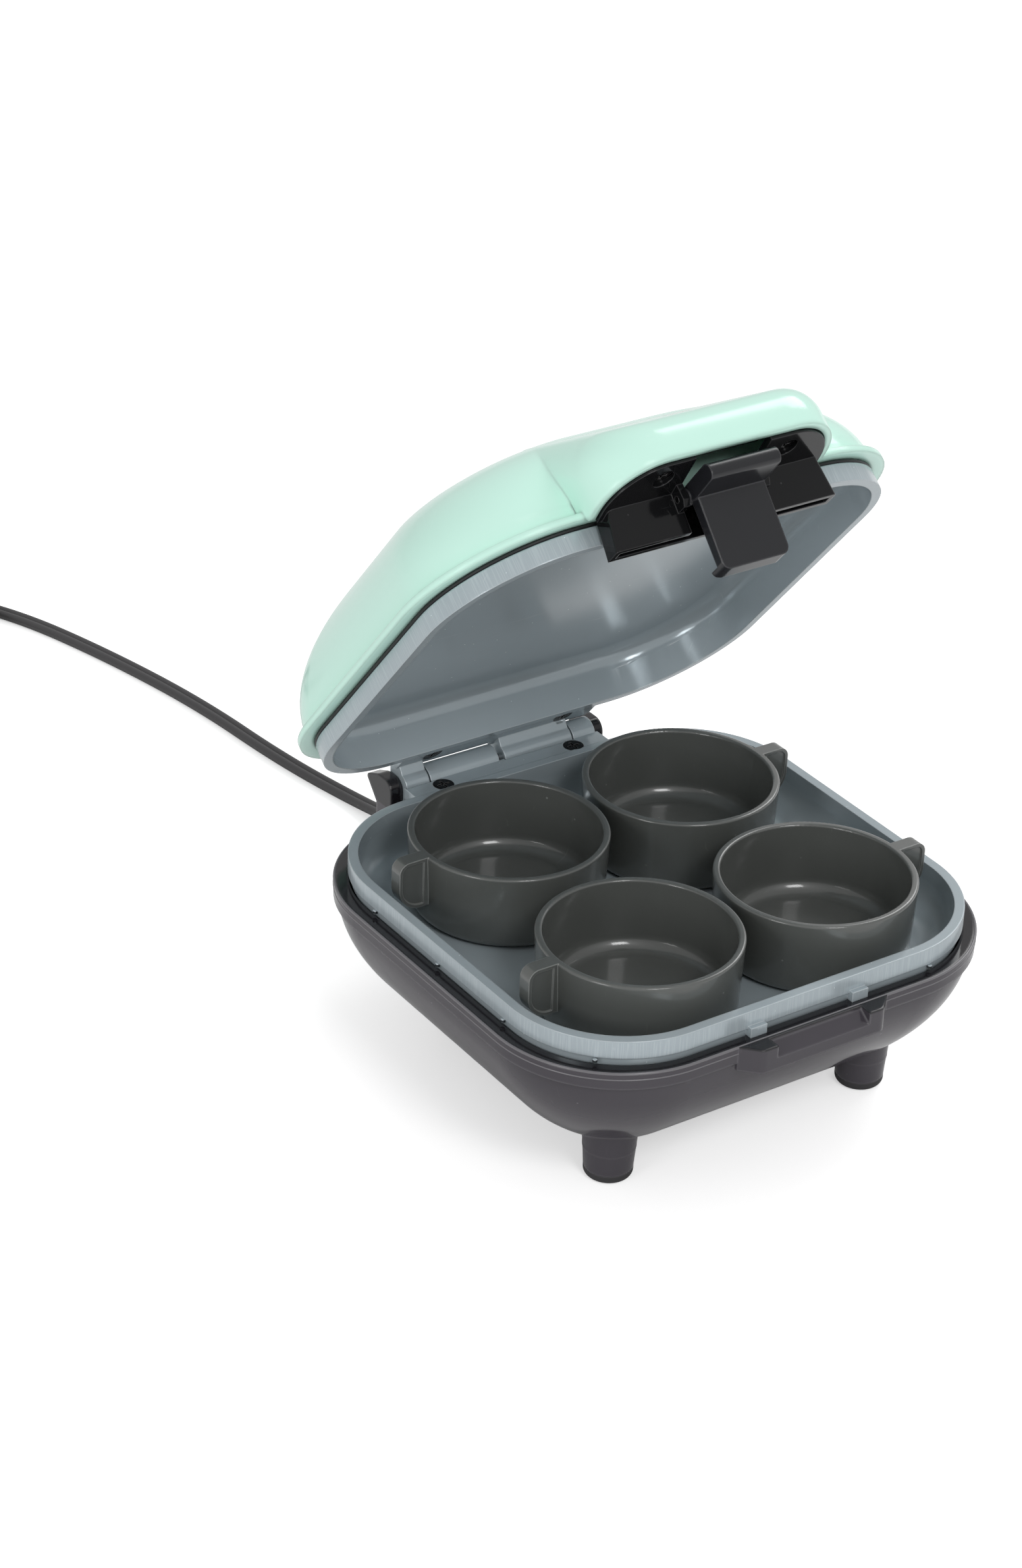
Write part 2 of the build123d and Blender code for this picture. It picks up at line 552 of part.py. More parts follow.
def cup(side):
    """Cup with a solid finger tab on the side given by side, standing at its place in the pan."""
    bottom = cup_height()
    outer = Polyline((0, bottom), (CUP_BOTTOM_RADIUS, bottom), (CUP_RADIUS, CUP_RIM), (0, CUP_RIM), close=True)
    inner = Polyline((0, bottom + CUP_FLOOR), (CUP_BOTTOM_RADIUS - CUP_WALL, bottom + CUP_FLOOR),
                     (CUP_RADIUS - CUP_WALL, CUP_RIM + 1), (0, CUP_RIM + 1), close=True)
    body = revolve(Plane.XZ * make_face(outer), Axis.Z)
    body = fillet(body.edges().group_by(Axis.Z)[0], CUP_BASE_ROUND)
    hollow = revolve(Plane.XZ * make_face(inner), Axis.Z)
    hollow = fillet(hollow.edges().group_by(Axis.Z)[0], CUP_BASE_ROUND + 2)
    body = body + finger_tab(CUP_RADIUS - CUP_WALL, TAB_WIDTH, 0) - hollow
    for face in (-1, 1):
        recess = finger_tab(CUP_RADIUS + TAB_BORDER, TAB_RECESS, TAB_BORDER)
        body -= Pos(0, face * (TAB_WIDTH - TAB_RECESS) / 2, 0) * recess
    body = fillet(body.edges().filter_by(GeomType.CIRCLE).group_by(Axis.Z)[-1], 0.7)
    return Rot(0, 0, 0 if side > 0 else 180) * body


# ---------------------------------------------------------------- lid
def dome_outline(grow):
    return bowl(LID_HALF_WIDTH - LID_STEP + grow, LID_HALF_DEPTH - LID_STEP + grow, LID_CORNER - LID_STEP + grow,
                LID_DOME_BASE, LID_DOME_BASE + LID_RISE + grow, LID_SHRINK, LID_POWER, LID_ROUNDNESS, 0.0)


def hood_solid(inset, drop):
    """Block of the hood: a slanted top that runs out of the dome, round front corners and upper edges."""
    half = HOOD_HALF - inset
    front = HOOD_FRONT + inset
    slope = (HOOD_BACK_TOP - HOOD_FRONT_TOP) / (HOOD_BACK_Y - HOOD_FRONT)
    top_front = HOOD_FRONT_TOP + slope * inset - inset
    plan = Polyline((-half, HOOD_BACK_Y), (-half, front), (half, front), (half, HOOD_BACK_Y), close=True)
    block = extrude(Pos(0, 0, HOOD_EDGE_Z - 20) * make_face(plan), HOOD_BACK_TOP - HOOD_EDGE_Z + 30)
    block = fillet(block.edges().filter_by(Axis.Z).group_by(Axis.Y)[0], HOOD_CORNER - inset)
    profile = [(HOOD_BACK_Y, HOOD_BACK_TOP - inset), (front, top_front), (front, HOOD_FRONT_EDGE_Z - drop),
               (HOOD_EDGE_Y, HOOD_EDGE_Z - drop), (-LID_HALF_DEPTH, LID_FLANGE_BOTTOM - drop),
               (-LID_HALF_DEPTH + LID_STEP, LID_DOME_BASE), (HOOD_BACK_Y, LID_DOME_BASE + 6)]
    block = block & side_extrusion(profile, 2 * HOOD_HALF)
    top_edges = [edge for edge in block.faces().sort_by(Axis.Z)[-1].edges()
                 if edge.center().Y < HOOD_BACK_Y - 1]
    return fillet(top_edges, HOOD_ROUND - inset)


def handle_screw_places():
    return [(-HANDLE_SCREW_X, HANDLE_SCREW_Y), (HANDLE_SCREW_X, HANDLE_SCREW_Y)]


def hood_bottom(y):
    """Height of the hood's lower edge, and of the ceiling below it, at a depth y."""
    share = (HOOD_EDGE_Y - y) / (HOOD_EDGE_Y - HOOD_FRONT)
    return HOOD_EDGE_Z + share * (HOOD_FRONT_EDGE_Z - HOOD_EDGE_Z)


def handle_seat(y):
    """Height at which the head of a handle screw bears, inside its well in the ceiling."""
    return hood_bottom(y) - CEILING_SET_BACK + HANDLE_WELL


def lens_plane():
    slope = (HOOD_BACK_TOP - HOOD_FRONT_TOP) / (HOOD_BACK_Y - HOOD_FRONT)
    z = HOOD_FRONT_TOP + slope * (LENS_Y - HOOD_FRONT)
    return Plane(origin=(0, LENS_Y, z), z_dir=(0, -slope, 1))


def lid_shell():
    flange = rounded_block(LID_HALF_WIDTH, LID_HALF_DEPTH, LID_CORNER, LID_FLANGE_BOTTOM, LID_DOME_BASE)
    flange = fillet(flange.edges().group_by(Axis.Z)[-1], 0.8)
    dome = dome_outline(0)
    shell = flange + dome - dome_outline(-LID_WALL)
    shell -= rounded_block(PAN_HALF_WIDTH - BAND_PROUD + PAN_OPENING_GAP, PAN_HALF_DEPTH - BAND_PROUD
                           + PAN_OPENING_GAP, PAN_CORNER - BAND_PROUD + PAN_OPENING_GAP,
                           LID_FLANGE_BOTTOM - 1, LID_DOME_BASE + 4)
    hood = hood_solid(0, 0) - hood_solid(HOOD_WALL, 12) - dome - flange
    shell += hood.solids().sort_by(SortBy.VOLUME)[-1]
    for x, y in handle_screw_places():
        boss_bottom = handle_seat(y) + CEILING_THICKNESS + SEAT
        boss = Pos(x, y, (boss_bottom + HOOD_FRONT_TOP) / 2) * Cylinder(4.0, HOOD_FRONT_TOP - boss_bottom)
        shell += boss & hood_solid(HOOD_WALL / 2, 0)
        shell -= Pos(x, y, boss_bottom + 5) * Cylinder(1.5 + SCREW_FIT, 10)
    for side in (-1, 1):
        post_bottom = LID_RIM + LEAF_DROP + LEAF_THICKNESS
        post_front = PAN_HALF_DEPTH + 0.9
        post_back = HINGE_SCREW_Y + 3.4
        post = Pos(side * HINGE_SCREW_X, (post_front + post_back) / 2, (post_bottom + LID_DOME_BASE) / 2) * Box(
            8.4, post_back - post_front, LID_DOME_BASE - post_bottom)
        shell += fillet(post.edges().filter_by(Axis.Z).group_by(Axis.Y)[-1], 3.0)
        shell -= Pos(side * HINGE_SCREW_X, HINGE_SCREW_Y, post_bottom) * Cylinder(
            HINGE_SCREW_RADIUS + SCREW_FIT, 20)
    shell -= lens_plane() * Cylinder(LENS_RADIUS + SEAT, 3 * HOOD_WALL)
    return shell


def indicator_lens():
    lens = Pos(0, 0, -LENS_THICKNESS / 2) * Cylinder(LENS_RADIUS, LENS_THICKNESS)
    return lens_plane() * fillet(lens.edges().group_by(Axis.Z)[-1], 0.6)


def indicator_lamp():
    return lens_plane() * Pos(0, 0, -LENS_THICKNESS - LAMP_LENGTH / 2) * Cylinder(LAMP_RADIUS, LAMP_LENGTH)


# ---------------------------------------------------------------- handle box and latch
def box_loft(inset, bottom_z, top_z):
    slope_x = (BOX_TOP_HALF - BOX_BOTTOM_HALF) / (BOX_FOLD_Z - BOX_BOTTOM_Z)
    slope_y = (BOX_FOLD_Y - BOX_BOTTOM_Y) / (BOX_FOLD_Z - BOX_BOTTOM_Z)
    faces = []
    for z in (bottom_z, top_z):
        half = BOX_BOTTOM_HALF + slope_x * (z - BOX_BOTTOM_Z) - inset
        front = BOX_BOTTOM_Y + slope_y * (z - BOX_BOTTOM_Z) + inset
        rear = BOX_REAR_Y - inset
        faces.append(Pos(0, (front + rear) / 2, z) * Rectangle(2 * half, rear - front))
    return loft(faces)


def handle_box():
    """Dark moulding below the hood: a thin open box in front of the pans and a ceiling that slopes forward."""
    box = box_loft(0, BOX_BOTTOM_Z, BOX_FOLD_Z)
    corners_in_front = [edge for edge in box.edges() if abs(edge.center().X) > 20
                        and edge.center().Y < BOX_BOTTOM_Y and BOX_BOTTOM_Z + 1 < edge.center().Z < BOX_FOLD_Z - 1]
    box = fillet(corners_in_front, 1.2)
    box -= box_loft(BOX_WALL, BOX_BOTTOM_Z - 1, BOX_FOLD_Z - BOX_WALL)
    half = HOOD_HALF - HOOD_WALL - CEILING_GAP
    front = HOOD_FRONT + HOOD_WALL + CEILING_GAP
    rear = -LID_HALF_DEPTH - CEILING_GAP
    plan = Polyline((-half, rear), (-half, front), (half, front), (half, rear), close=True)
    ceiling = extrude(Pos(0, 0, BOX_BOTTOM_Z) * make_face(plan), 30)
    ceiling = fillet(ceiling.edges().filter_by(Axis.Z).group_by(Axis.Y)[0], HOOD_CORNER - HOOD_WALL - CEILING_GAP)
    low = -CEILING_SET_BACK
    ceiling &= side_extrusion([(rear, hood_bottom(rear) + low), (front, hood_bottom(front) + low),
                               (front, hood_bottom(front) + low + CEILING_THICKNESS),
                               (rear, hood_bottom(rear) + low + CEILING_THICKNESS)], half + 1)
    piece = box + ceiling
    for x, y in handle_screw_places():
        seat = handle_seat(y)
        piece += Pos(x, y, seat + CEILING_THICKNESS - 1.5) * Cylinder(4.8, 3.0)
        piece -= Pos(x, y, seat - 5) * Cylinder(3.0 + 0.3, 10)
        piece -= Pos(x, y, seat) * Cylinder(1.5 + SCREW_FIT, BORE_DEPTH)
    notch_front = HOOD_FRONT
    piece -= Pos(0, (notch_front + BOX_REAR_Y - 2 * BOX_WALL) / 2, BOX_BOTTOM_Z + 10) * Box(
        2 * NOTCH_HALF, BOX_REAR_Y - 2 * BOX_WALL - notch_front, 40)
    for side in (-1, 1):
        front, rear = LATCH_PIVOT_Y - 2.9, LATCH_PIVOT_Y + 5.5
        ear = side_extrusion([(front, LATCH_PIVOT_Z - 1.4), (front + 1.2, LATCH_PIVOT_Z - 3.2),
                              (rear, LATCH_PIVOT_Z - 3.2), (rear, BOX_FOLD_Z), (front, BOX_FOLD_Z + 0.6)],
                             EAR_THICKNESS / 2)
        piece += Pos(side * (NOTCH_HALF + EAR_THICKNESS / 2), 0, 0) * ear
    piece -= Pos(0, LATCH_PIVOT_Y, LATCH_PIVOT_Z) * Rot(0, 90, 0) * Cylinder(LATCH_PIN_RADIUS + PIN_HOLD, 40)
    return piece


def latch():
    """Rocking latch: a pull grip above, a hooked plate below, on a cross pin between the ears."""
    plate_rear_top = LATCH_TOP_Y + LATCH_PLATE
    plate_rear_foot = LATCH_FOOT_Y + LATCH_PLATE
    hook_top = LATCH_FOOT_Z + HOOK_HEIGHT
    profile = [(HOOK_TIP_Y, hook_top), (plate_rear_foot, hook_top), (plate_rear_top, LATCH_PIVOT_Z - 3),
               (LATCH_PIVOT_Y, LATCH_PIVOT_Z), (LATCH_PIVOT_Y - 1.5, LATCH_PIVOT_Z + 2.4),
               (LATCH_TOP_Y - 1, LATCH_PIVOT_Z - 2), (LATCH_FOOT_Y, LATCH_FOOT_Z),
               (HOOK_TIP_Y - 0.6, LATCH_FOOT_Z), (HOOK_TIP_Y, LATCH_FOOT_Z + 0.7)]
    body = side_extrusion(profile, LATCH_HALF)
    grip_profile = [(LATCH_PIVOT_Y, LATCH_PIVOT_Z + 2.4), (LATCH_TOP_Y, GRIP_TOP_Z - 0.3),
                    (GRIP_FRONT_Y, GRIP_TOP_Z), (GRIP_FRONT_Y, GRIP_FOOT_Z), (LATCH_TOP_Y, GRIP_FOOT_Z - 0.6),
                    (LATCH_PIVOT_Y, LATCH_PIVOT_Z - 1.5)]
    grip = side_extrusion(grip_profile, LATCH_HALF + 0.4)
    grip = fillet(grip.edges().filter_by(Axis.X).group_by(Axis.Y)[0], GRIP_ROUND)
    barrel = Pos(0, LATCH_PIVOT_Y, LATCH_PIVOT_Z) * Rot(0, 90, 0) * Cylinder(LATCH_BARREL, 2 * LATCH_HALF + 1.6)
    piece = body + grip + barrel
    for side in (-1, 1):
        edge_cut = Pos(side * LATCH_HALF, LATCH_FOOT_Y, LATCH_FOOT_Z) * Rot(90, 0, 0) * (
            Box(5, 5, 30) - Pos(-side * 2.5, 2.5, 0) * Cylinder(2.5, 30))
        piece -= edge_cut
    piece -= Pos(0, LATCH_PIVOT_Y, LATCH_PIVOT_Z) * Rot(0, 90, 0) * Cylinder(LATCH_PIN_RADIUS + PIN_RUNNING, 60)
    spring_room = Pos(0, LATCH_PIVOT_Y, LATCH_PIVOT_Z) * Rot(0, 90, 0) * Cylinder(
        LATCH_BARREL + 0.9, SPRING_ROOM)
    return piece - spring_room


def latch_pin():
    length = 2 * (NOTCH_HALF + EAR_THICKNESS)
    return Pos(0, LATCH_PIVOT_Y, LATCH_PIVOT_Z) * Rot(0, 90, 0) * Cylinder(LATCH_PIN_RADIUS, length)


def latch_spring():
    """Torsion spring round the latch pin."""
    helix = Helix(pitch=SPRING_PITCH, height=SPRING_TURNS * SPRING_PITCH, radius=LATCH_SPRING_RADIUS)
    start = helix @ 0
    wire = sweep(Plane(origin=start, z_dir=helix % 0) * Circle(LATCH_SPRING_WIRE), helix, is_frenet=True)
    coil = Pos(0, 0, -SPRING_TURNS * SPRING_PITCH / 2) * wire
    return Pos(0, LATCH_PIVOT_Y, LATCH_PIVOT_Z) * Rot(0, 90, 0) * coil


# ---------------------------------------------------------------- heater and wiring
def element_z():
    return PAN_RIM - PAN_DEPTH - PAN_FLOOR - ELEMENT_RADIUS - SEAT


def heating_element():
    """Tubular heater bent to a square loop under the pan floor, with both tails at the back."""
    loop = [(-ELEMENT_TAIL_X, ELEMENT_TAIL_Y), (-ELEMENT_TAIL_X, ELEMENT_HALF), (-ELEMENT_HALF, ELEMENT_HALF),
            (-ELEMENT_HALF, -ELEMENT_HALF), (ELEMENT_HALF, -ELEMENT_HALF), (ELEMENT_HALF, ELEMENT_HALF),
            (ELEMENT_TAIL_X, ELEMENT_HALF), (ELEMENT_TAIL_X, ELEMENT_TAIL_Y)]
    path = FilletPolyline([(x, y, element_z()) for x, y in loop], radius=ELEMENT_BEND)
    return sweep(Plane(origin=path @ 0, z_dir=path % 0) * Circle(ELEMENT_RADIUS), path)


def clamp_top():
    return element_z() - ELEMENT_RADIUS - SEAT


def element_clamp():
    """Pressed cross that holds the heater against the pan."""
    z = clamp_top() - CLAMP_THICKNESS / 2
    cross = Pos(0, 0, z) * (Box(2 * CLAMP_HALF, CLAMP_ARM, CLAMP_THICKNESS)
                            + Box(CLAMP_ARM, 2 * CLAMP_HALF, CLAMP_THICKNESS))
    return cross - Pos(0, 0, z) * Cylinder(1.5 + SCREW_FIT, 3)


def clamp_screw():
    return Pos(0, 0, clamp_top() - CLAMP_THICKNESS) * pan_screw(1.5, 3.0, 2.0, 6.0)


def thermostat():
    top = PAN_RIM - PAN_DEPTH - PAN_FLOOR - SEAT
    can = Pos(THERMOSTAT_PLACE, THERMOSTAT_PLACE, top - 4) * Cylinder(THERMOSTAT_RADIUS, 8.0)
    for side in (-1, 1):
        tag_x = THERMOSTAT_PLACE + side * (THERMOSTAT_RADIUS - 1.0)
        can += Pos(tag_x, THERMOSTAT_PLACE, top - 8.5) * Box(0.8, 6.0, 6.0)
    return can


def thermal_fuse():
    z = PAN_RIM - PAN_DEPTH - PAN_FLOOR - SEAT - 1.8
    return Pos(-FUSE_PLACE_X, FUSE_PLACE_Y, z) * Rot(0, 90, 0) * (Cylinder(1.8, FUSE_LENGTH) + Cylinder(0.5, FUSE_SPAN))


def heat_shield():
    plate = rounded_block(SHIELD_HALF_WIDTH, SHIELD_HALF_DEPTH, 14.0, SHIELD_Z, SHIELD_Z + SHIELD_THICKNESS)
    for x, y in foot_places():
        plate -= Pos(x, y, SHIELD_Z) * Cylinder(TOWER_RADIUS + 0.2, 6)
    plate -= Pos(0, SHIELD_HALF_DEPTH, SHIELD_Z) * Box(2 * ELEMENT_TAIL_X + 12, 2 * SHIELD_NOTCH, 6)
    return plate


def block_floor():
    return SHELL_BOTTOM + SHELL_WALL


def terminal_block():
    body = Pos(0, BLOCK_Y, block_floor() + BLOCK_HEIGHT / 2) * Box(BLOCK_WIDTH, BLOCK_DEPTH, BLOCK_HEIGHT)
    for x in (-BLOCK_WIDTH / 4, BLOCK_WIDTH / 4):
        body -= Pos(x, BLOCK_Y, block_floor() + BLOCK_HEIGHT) * Cylinder(1.8, 6.0)
    return body


def lead(points, bend):
    path = FilletPolyline(points, radius=bend)
    return sweep(Plane(origin=path @ 0, z_dir=path % 0) * Circle(LEAD_RADIUS), path)


def supply_leads():
    """Two cores from the gland to the terminal block."""
    wires = []
    rear = BLOCK_Y + BLOCK_DEPTH / 2
    z = block_floor() + BLOCK_HEIGHT / 2
    for side in (-1, 1):
        wires.append(lead([(side * 1.5, GLAND_INNER, GLAND_Z), (side * 1.5, GLAND_INNER - LEAD_STRAIGHT, GLAND_Z),
                           (side * 4.0, rear + LEAD_STRAIGHT, z), (side * 4.0, rear, z)], 4.0))
    return wires[0] + wires[1]


def heater_leads():
    """Two cores from the terminal block to the tails of the heater."""
    wires = []
    rear = BLOCK_Y + BLOCK_DEPTH / 2
    z = block_floor() + BLOCK_HEIGHT / 2
    tail_z = element_z()
    for side in (-1, 1):
        x = side * ELEMENT_TAIL_X
        wires.append(lead([(x, rear, z), (x, rear + LEAD_STRAIGHT, z), (x, ELEMENT_TAIL_Y - 9.0, 2 * LEAD_STRAIGHT),
                           (x, ELEMENT_TAIL_Y + 3.5, LEAD_RISE_Z), (x, ELEMENT_TAIL_Y + 4.5, tail_z),
                           (x, ELEMENT_TAIL_Y, tail_z)], [5.0, 6.0, 4.0, 1.8]))
    return wires[0] + wires[1]


# ---------------------------------------------------------------- cord, strain relief and plug
def strain_relief():
    """Tapered rubber sleeve through the rear wall, with a collar outside and grooves for bending."""
    points = [(0, GLAND_INNER), (GLAND_RADIUS, GLAND_INNER), (GLAND_RADIUS, GLAND_FACE + SEAT),
              (GLAND_RADIUS + 1.6, GLAND_FACE + SEAT), (GLAND_RADIUS + 1.6, GLAND_FACE + 2.2),
              (GLAND_RADIUS - 0.4, GLAND_FACE + 2.2), (CORD_WIDTH / 2 + 0.7, GLAND_END), (0, GLAND_END)]
    sleeve = revolve(Plane.XY * make_face(Polyline([(r, y, 0) for r, y in points], close=True)), Axis.Y)
    for groove in range(4):
        y = GLAND_FACE + 6.0 + groove * 4.4
        ring = Rot(90, 0, 0) * (Cylinder(GLAND_RADIUS + 1, 1.4) - Cylinder(CORD_WIDTH / 2 + 0.45, 2.0))
        sleeve -= Pos(0, y, 0) * ring
    return Pos(GLAND_X, 0, GLAND_Z) * sleeve


def cord_route():
    """Corner points of the cord, from the sleeve down to the ground and on to the coil."""
    ground = CORD_WIDTH / 2
    return [(0, GLAND_END, GLAND_Z), (0, 119, GLAND_Z), (2.5, 142, 8.5), (4, 165, ground), (-4.5, 207, ground),
            (-9, 257, ground), (-19.5, 306, ground), (-33, 350, ground), (-52, 380, ground)]


def corner_radii(points):
    radii = []
    for before, here, after in zip(points, points[1:], points[2:]):
        into = Vector(*here) - Vector(*before)
        out = Vector(*after) - Vector(*here)
        half_turn = math.radians(into.get_angle(out)) / 2
        radii.append(0.45 * min(into.length, out.length) / math.tan(half_turn))
    return radii


def power_cord():
    points = cord_route()
    radii = corner_radii(points)
    path = FilletPolyline(points, radius=radii)
    tube = sweep(Plane(origin=path @ 0, z_dir=path % 0) * Circle(CORD_WIDTH / 2), path)
    section = math.pi * CORD_WIDTH**2 / 4
    print("cord radii", [round(r, 1) for r in radii], "length", round(path.length, 1),
          "volume ratio", round(tube.volume / (section * path.length), 4))
    return tube


def power_cord_coil():
    """Outer shape of the neat round coil that the rest of the cord is wound into."""
    outer = COIL_RADIUS + CORD_WIDTH
    inner = COIL_RADIUS - CORD_WIDTH
    height = COIL_LAYERS * CORD_WIDTH
    ring = Pos(COIL_CENTRE[0], COIL_CENTRE[1], height / 2) * (Cylinder(outer, height) - Cylinder(inner, height))
    return fillet(ring.edges(), CORD_WIDTH * 0.4)


def plug_plane():
    """Plane across the plug where its neck meets the coil, looking along the plug."""
    angle = math.radians(PLUG_ANGLE)
    x = COIL_CENTRE[0] + COIL_RADIUS * math.cos(angle)
    y = COIL_CENTRE[1] + COIL_RADIUS * math.sin(angle)
    heading = Vector(-math.sin(angle), math.cos(angle), 0)
    start = Vector(x, y, PLUG_THICKNESS / 2) + heading * PLUG_LEAD
    return Plane(origin=start, x_dir=heading.cross(Vector(0, 0, -1)), z_dir=heading)


def plug_body():
    """Two-pin plug lying flat, with a tapered neck."""
    place = plug_plane()
    neck = loft([Circle(CORD_WIDTH / 2 + 0.5), Pos(0, 0, PLUG_NECK) * Circle(CORD_WIDTH / 2 + 1.6)])
    grip_start = Pos(0, 0, PLUG_NECK - 1) * RectangleRounded(13, 10, 4.5)
    grip_end = Pos(0, 0, PLUG_NECK + PLUG_GRIP) * RectangleRounded(PLUG_WIDTH, PLUG_THICKNESS, 5)
    grip = loft([grip_start, grip_end])
    face = extrude(Pos(0, 0, PLUG_NECK + PLUG_GRIP) * RectangleRounded(PLUG_WIDTH, PLUG_THICKNESS, 5), 5)
    return place * (neck + grip + fillet(face.edges().group_by(Axis.Z)[-1], 1.0))


def plug_blades():
    place = plug_plane()
    blades = []
    for side in (-1, 1):
        blade = Pos(side * 6.35, 0, PLUG_NECK + PLUG_GRIP + 5 + 8.5) * Box(1.5, 6.3, 17)
        blade -= Pos(side * 6.35, 0, PLUG_NECK + PLUG_GRIP + 5 + 13.5) * Rot(0, 90, 0) * Cylinder(1.6, 4)
        blades.append(place * blade)
    return blades


# ---------------------------------------------------------------- assembly
def lid_screws():
    post = LID_RIM + LEAF_DROP
    return [Pos(x, HINGE_SCREW_Y, post) * Rot(180, 0, 0) * hinge_screw() for x in (-HINGE_SCREW_X, HINGE_SCREW_X)]


def box_screws():
    places = []
    for x, y in handle_screw_places():
        places.append(Pos(x, y, handle_seat(y)) * pan_screw(1.5, 3.0, 1.4, 8.0))
    return places


def lid_pieces():
    left, right = lid_screws()
    box_left, box_right = box_screws()
    return {
        "lid_shell": lid_shell(), "upper_pan": upper_pan(), "upper_pan_rim": upper_pan_rim(),
        "lid_hinge_screw_left": left, "lid_hinge_screw_right": right, "handle_box": handle_box(), "handle_screw_left": box_left,
        "handle_screw_right": box_right, "latch": latch(), "latch_pin": latch_pin(),
        "latch_spring": latch_spring(), "indicator_lens": indicator_lens(), "indicator_lamp": indicator_lamp(),
    }


def base_pieces():
    pieces = {
        "base_shell": base_shell(), "lower_pan": lower_pan(), "hinge_pin": hinge_pin(),
        "heating_element": heating_element(), "element_clamp": element_clamp(), "clamp_screw": clamp_screw(),
        "thermostat": thermostat(), "thermal_fuse": thermal_fuse(), "heat_shield": heat_shield(),
        "terminal_block": terminal_block(), "supply_leads": supply_leads(), "heater_leads": heater_leads(),
        "strain_relief": strain_relief(),
    }
    names = ("front_left", "back_left", "front_right", "back_right")
    for name, (x, y) in zip(names, foot_places()):
        pieces["foot_pad_" + name] = Pos(x, y, 0) * foot_pad()
        pieces["housing_screw_" + name] = Pos(x, y, 0) * housing_screw()
    for name, side in (("left", -1), ("right", 1)):
        place = Pos(side * HINGE_SCREW_X, HINGE_SCREW_Y, PAN_RIM - LEAF_DROP)
        pieces["base_hinge_screw_" + name] = place * hinge_screw()
    for name, (x, y) in zip(names, corners(CUP_PITCH_X, CUP_PITCH_Y)):
        pieces["cup_" + name] = Pos(x, y + CUP_CENTRE_Y, 0) * cup(x)
    return pieces


def cord_pieces():
    blades = plug_blades()
    return {
        "power_cord": power_cord(), "power_cord_coil": power_cord_coil(), "plug_body": plug_body(),
        "plug_blade_left": blades[0], "plug_blade_right": blades[1],
    }


def main():
    os.makedirs("parts", exist_ok=True)
    pieces = base_pieces()
    for name, piece in lid_pieces().items():
        pieces[name] = piece.rotate(HINGE_AXIS, OPEN_ANGLE)
    front = min(piece.bounding_box().min.Y for piece in pieces.values())
    back = max(piece.bounding_box().max.Y for piece in pieces.values())
    middle = (front + back) / 2
    pieces.update(cord_pieces())
    for name, piece in pieces.items():
        export_step(Pos(0, -middle, 0) * piece, "parts/" + name + ".step")
    print("middle", middle)
    print("hinge axis", 0, HINGE_Y - middle, HINGE_Z)
    pivot = Pos(0, LATCH_PIVOT_Y, LATCH_PIVOT_Z) * Box(0.1, 0.1, 0.1)
    pivot = pivot.rotate(HINGE_AXIS, OPEN_ANGLE).center()
    print("latch axis", 0, pivot.Y - middle, pivot.Z)


if __name__ == "__main__":
    main()
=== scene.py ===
import math

import bpy
from mathutils import Matrix, Vector


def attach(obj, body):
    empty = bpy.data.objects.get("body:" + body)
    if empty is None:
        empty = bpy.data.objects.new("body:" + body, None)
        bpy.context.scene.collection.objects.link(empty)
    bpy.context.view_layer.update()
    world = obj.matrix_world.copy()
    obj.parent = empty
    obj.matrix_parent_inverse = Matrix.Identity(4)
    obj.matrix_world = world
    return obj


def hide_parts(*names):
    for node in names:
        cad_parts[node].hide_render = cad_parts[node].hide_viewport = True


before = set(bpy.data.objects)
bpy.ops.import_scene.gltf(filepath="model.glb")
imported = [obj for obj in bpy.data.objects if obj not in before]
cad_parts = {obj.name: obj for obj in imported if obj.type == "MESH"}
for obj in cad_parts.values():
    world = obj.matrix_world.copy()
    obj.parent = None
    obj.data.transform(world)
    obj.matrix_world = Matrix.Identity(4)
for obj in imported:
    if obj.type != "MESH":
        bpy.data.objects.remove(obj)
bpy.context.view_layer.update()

# ---- Camera ----
# A product shot from above the front left corner, with a long lens and
# a slight roll, as a hand-levelled studio camera has.
azimuth = math.radians(-35.5)
elevation = math.radians(31.08)
roll = math.radians(2.57)
camera_distance = 1.12771
body_middle = -0.008734
look_at = Vector((0, body_middle, 0.040))
look_shift = Vector((-0.03511, 0.01755, 0))
camera_turn = (Matrix.Rotation(azimuth, 4, "Z")
               @ Matrix.Rotation(math.radians(90) - elevation, 4, "X")
               @ Matrix.Rotation(roll, 4, "Z"))
camera_place = look_at + camera_turn @ (look_shift + Vector((0, 0, camera_distance)))
camera_data = bpy.data.cameras.new("studio_camera")
camera_data.sensor_width = 36
camera_data.lens = 85.86
camera_data.shift_x = -0.01478
camera_data.shift_y = 0.06108
camera_data.clip_start = 0.05
camera_data.clip_end = 20
camera = bpy.data.objects.new("studio_camera", camera_data)
camera.matrix_world = Matrix.Translation(camera_place) @ camera_turn
bpy.context.collection.objects.link(camera)
bpy.context.scene.camera = camera

# ---- Studio floor and light ----
# A seamless white sweep in an even white room, with three soft boxes, so
# that the object keeps only a soft shadow beneath it. The camera sees
# floor and room brighter than they light the object.
floor_glow = 0.50
room_light = 0.60
room_seen = 1.0
lamp_aim = Vector((0, 0, 0.06))
soft_boxes = (("key_soft_box", (1.3, 0.5, 1.3), 0.9, 11.0),
              ("front_soft_box", (-0.25, -1.5, 1.5), 0.55, 10.5),
              ("side_soft_box", (-1.5, -0.45, 0.45), 0.45, 4.5))

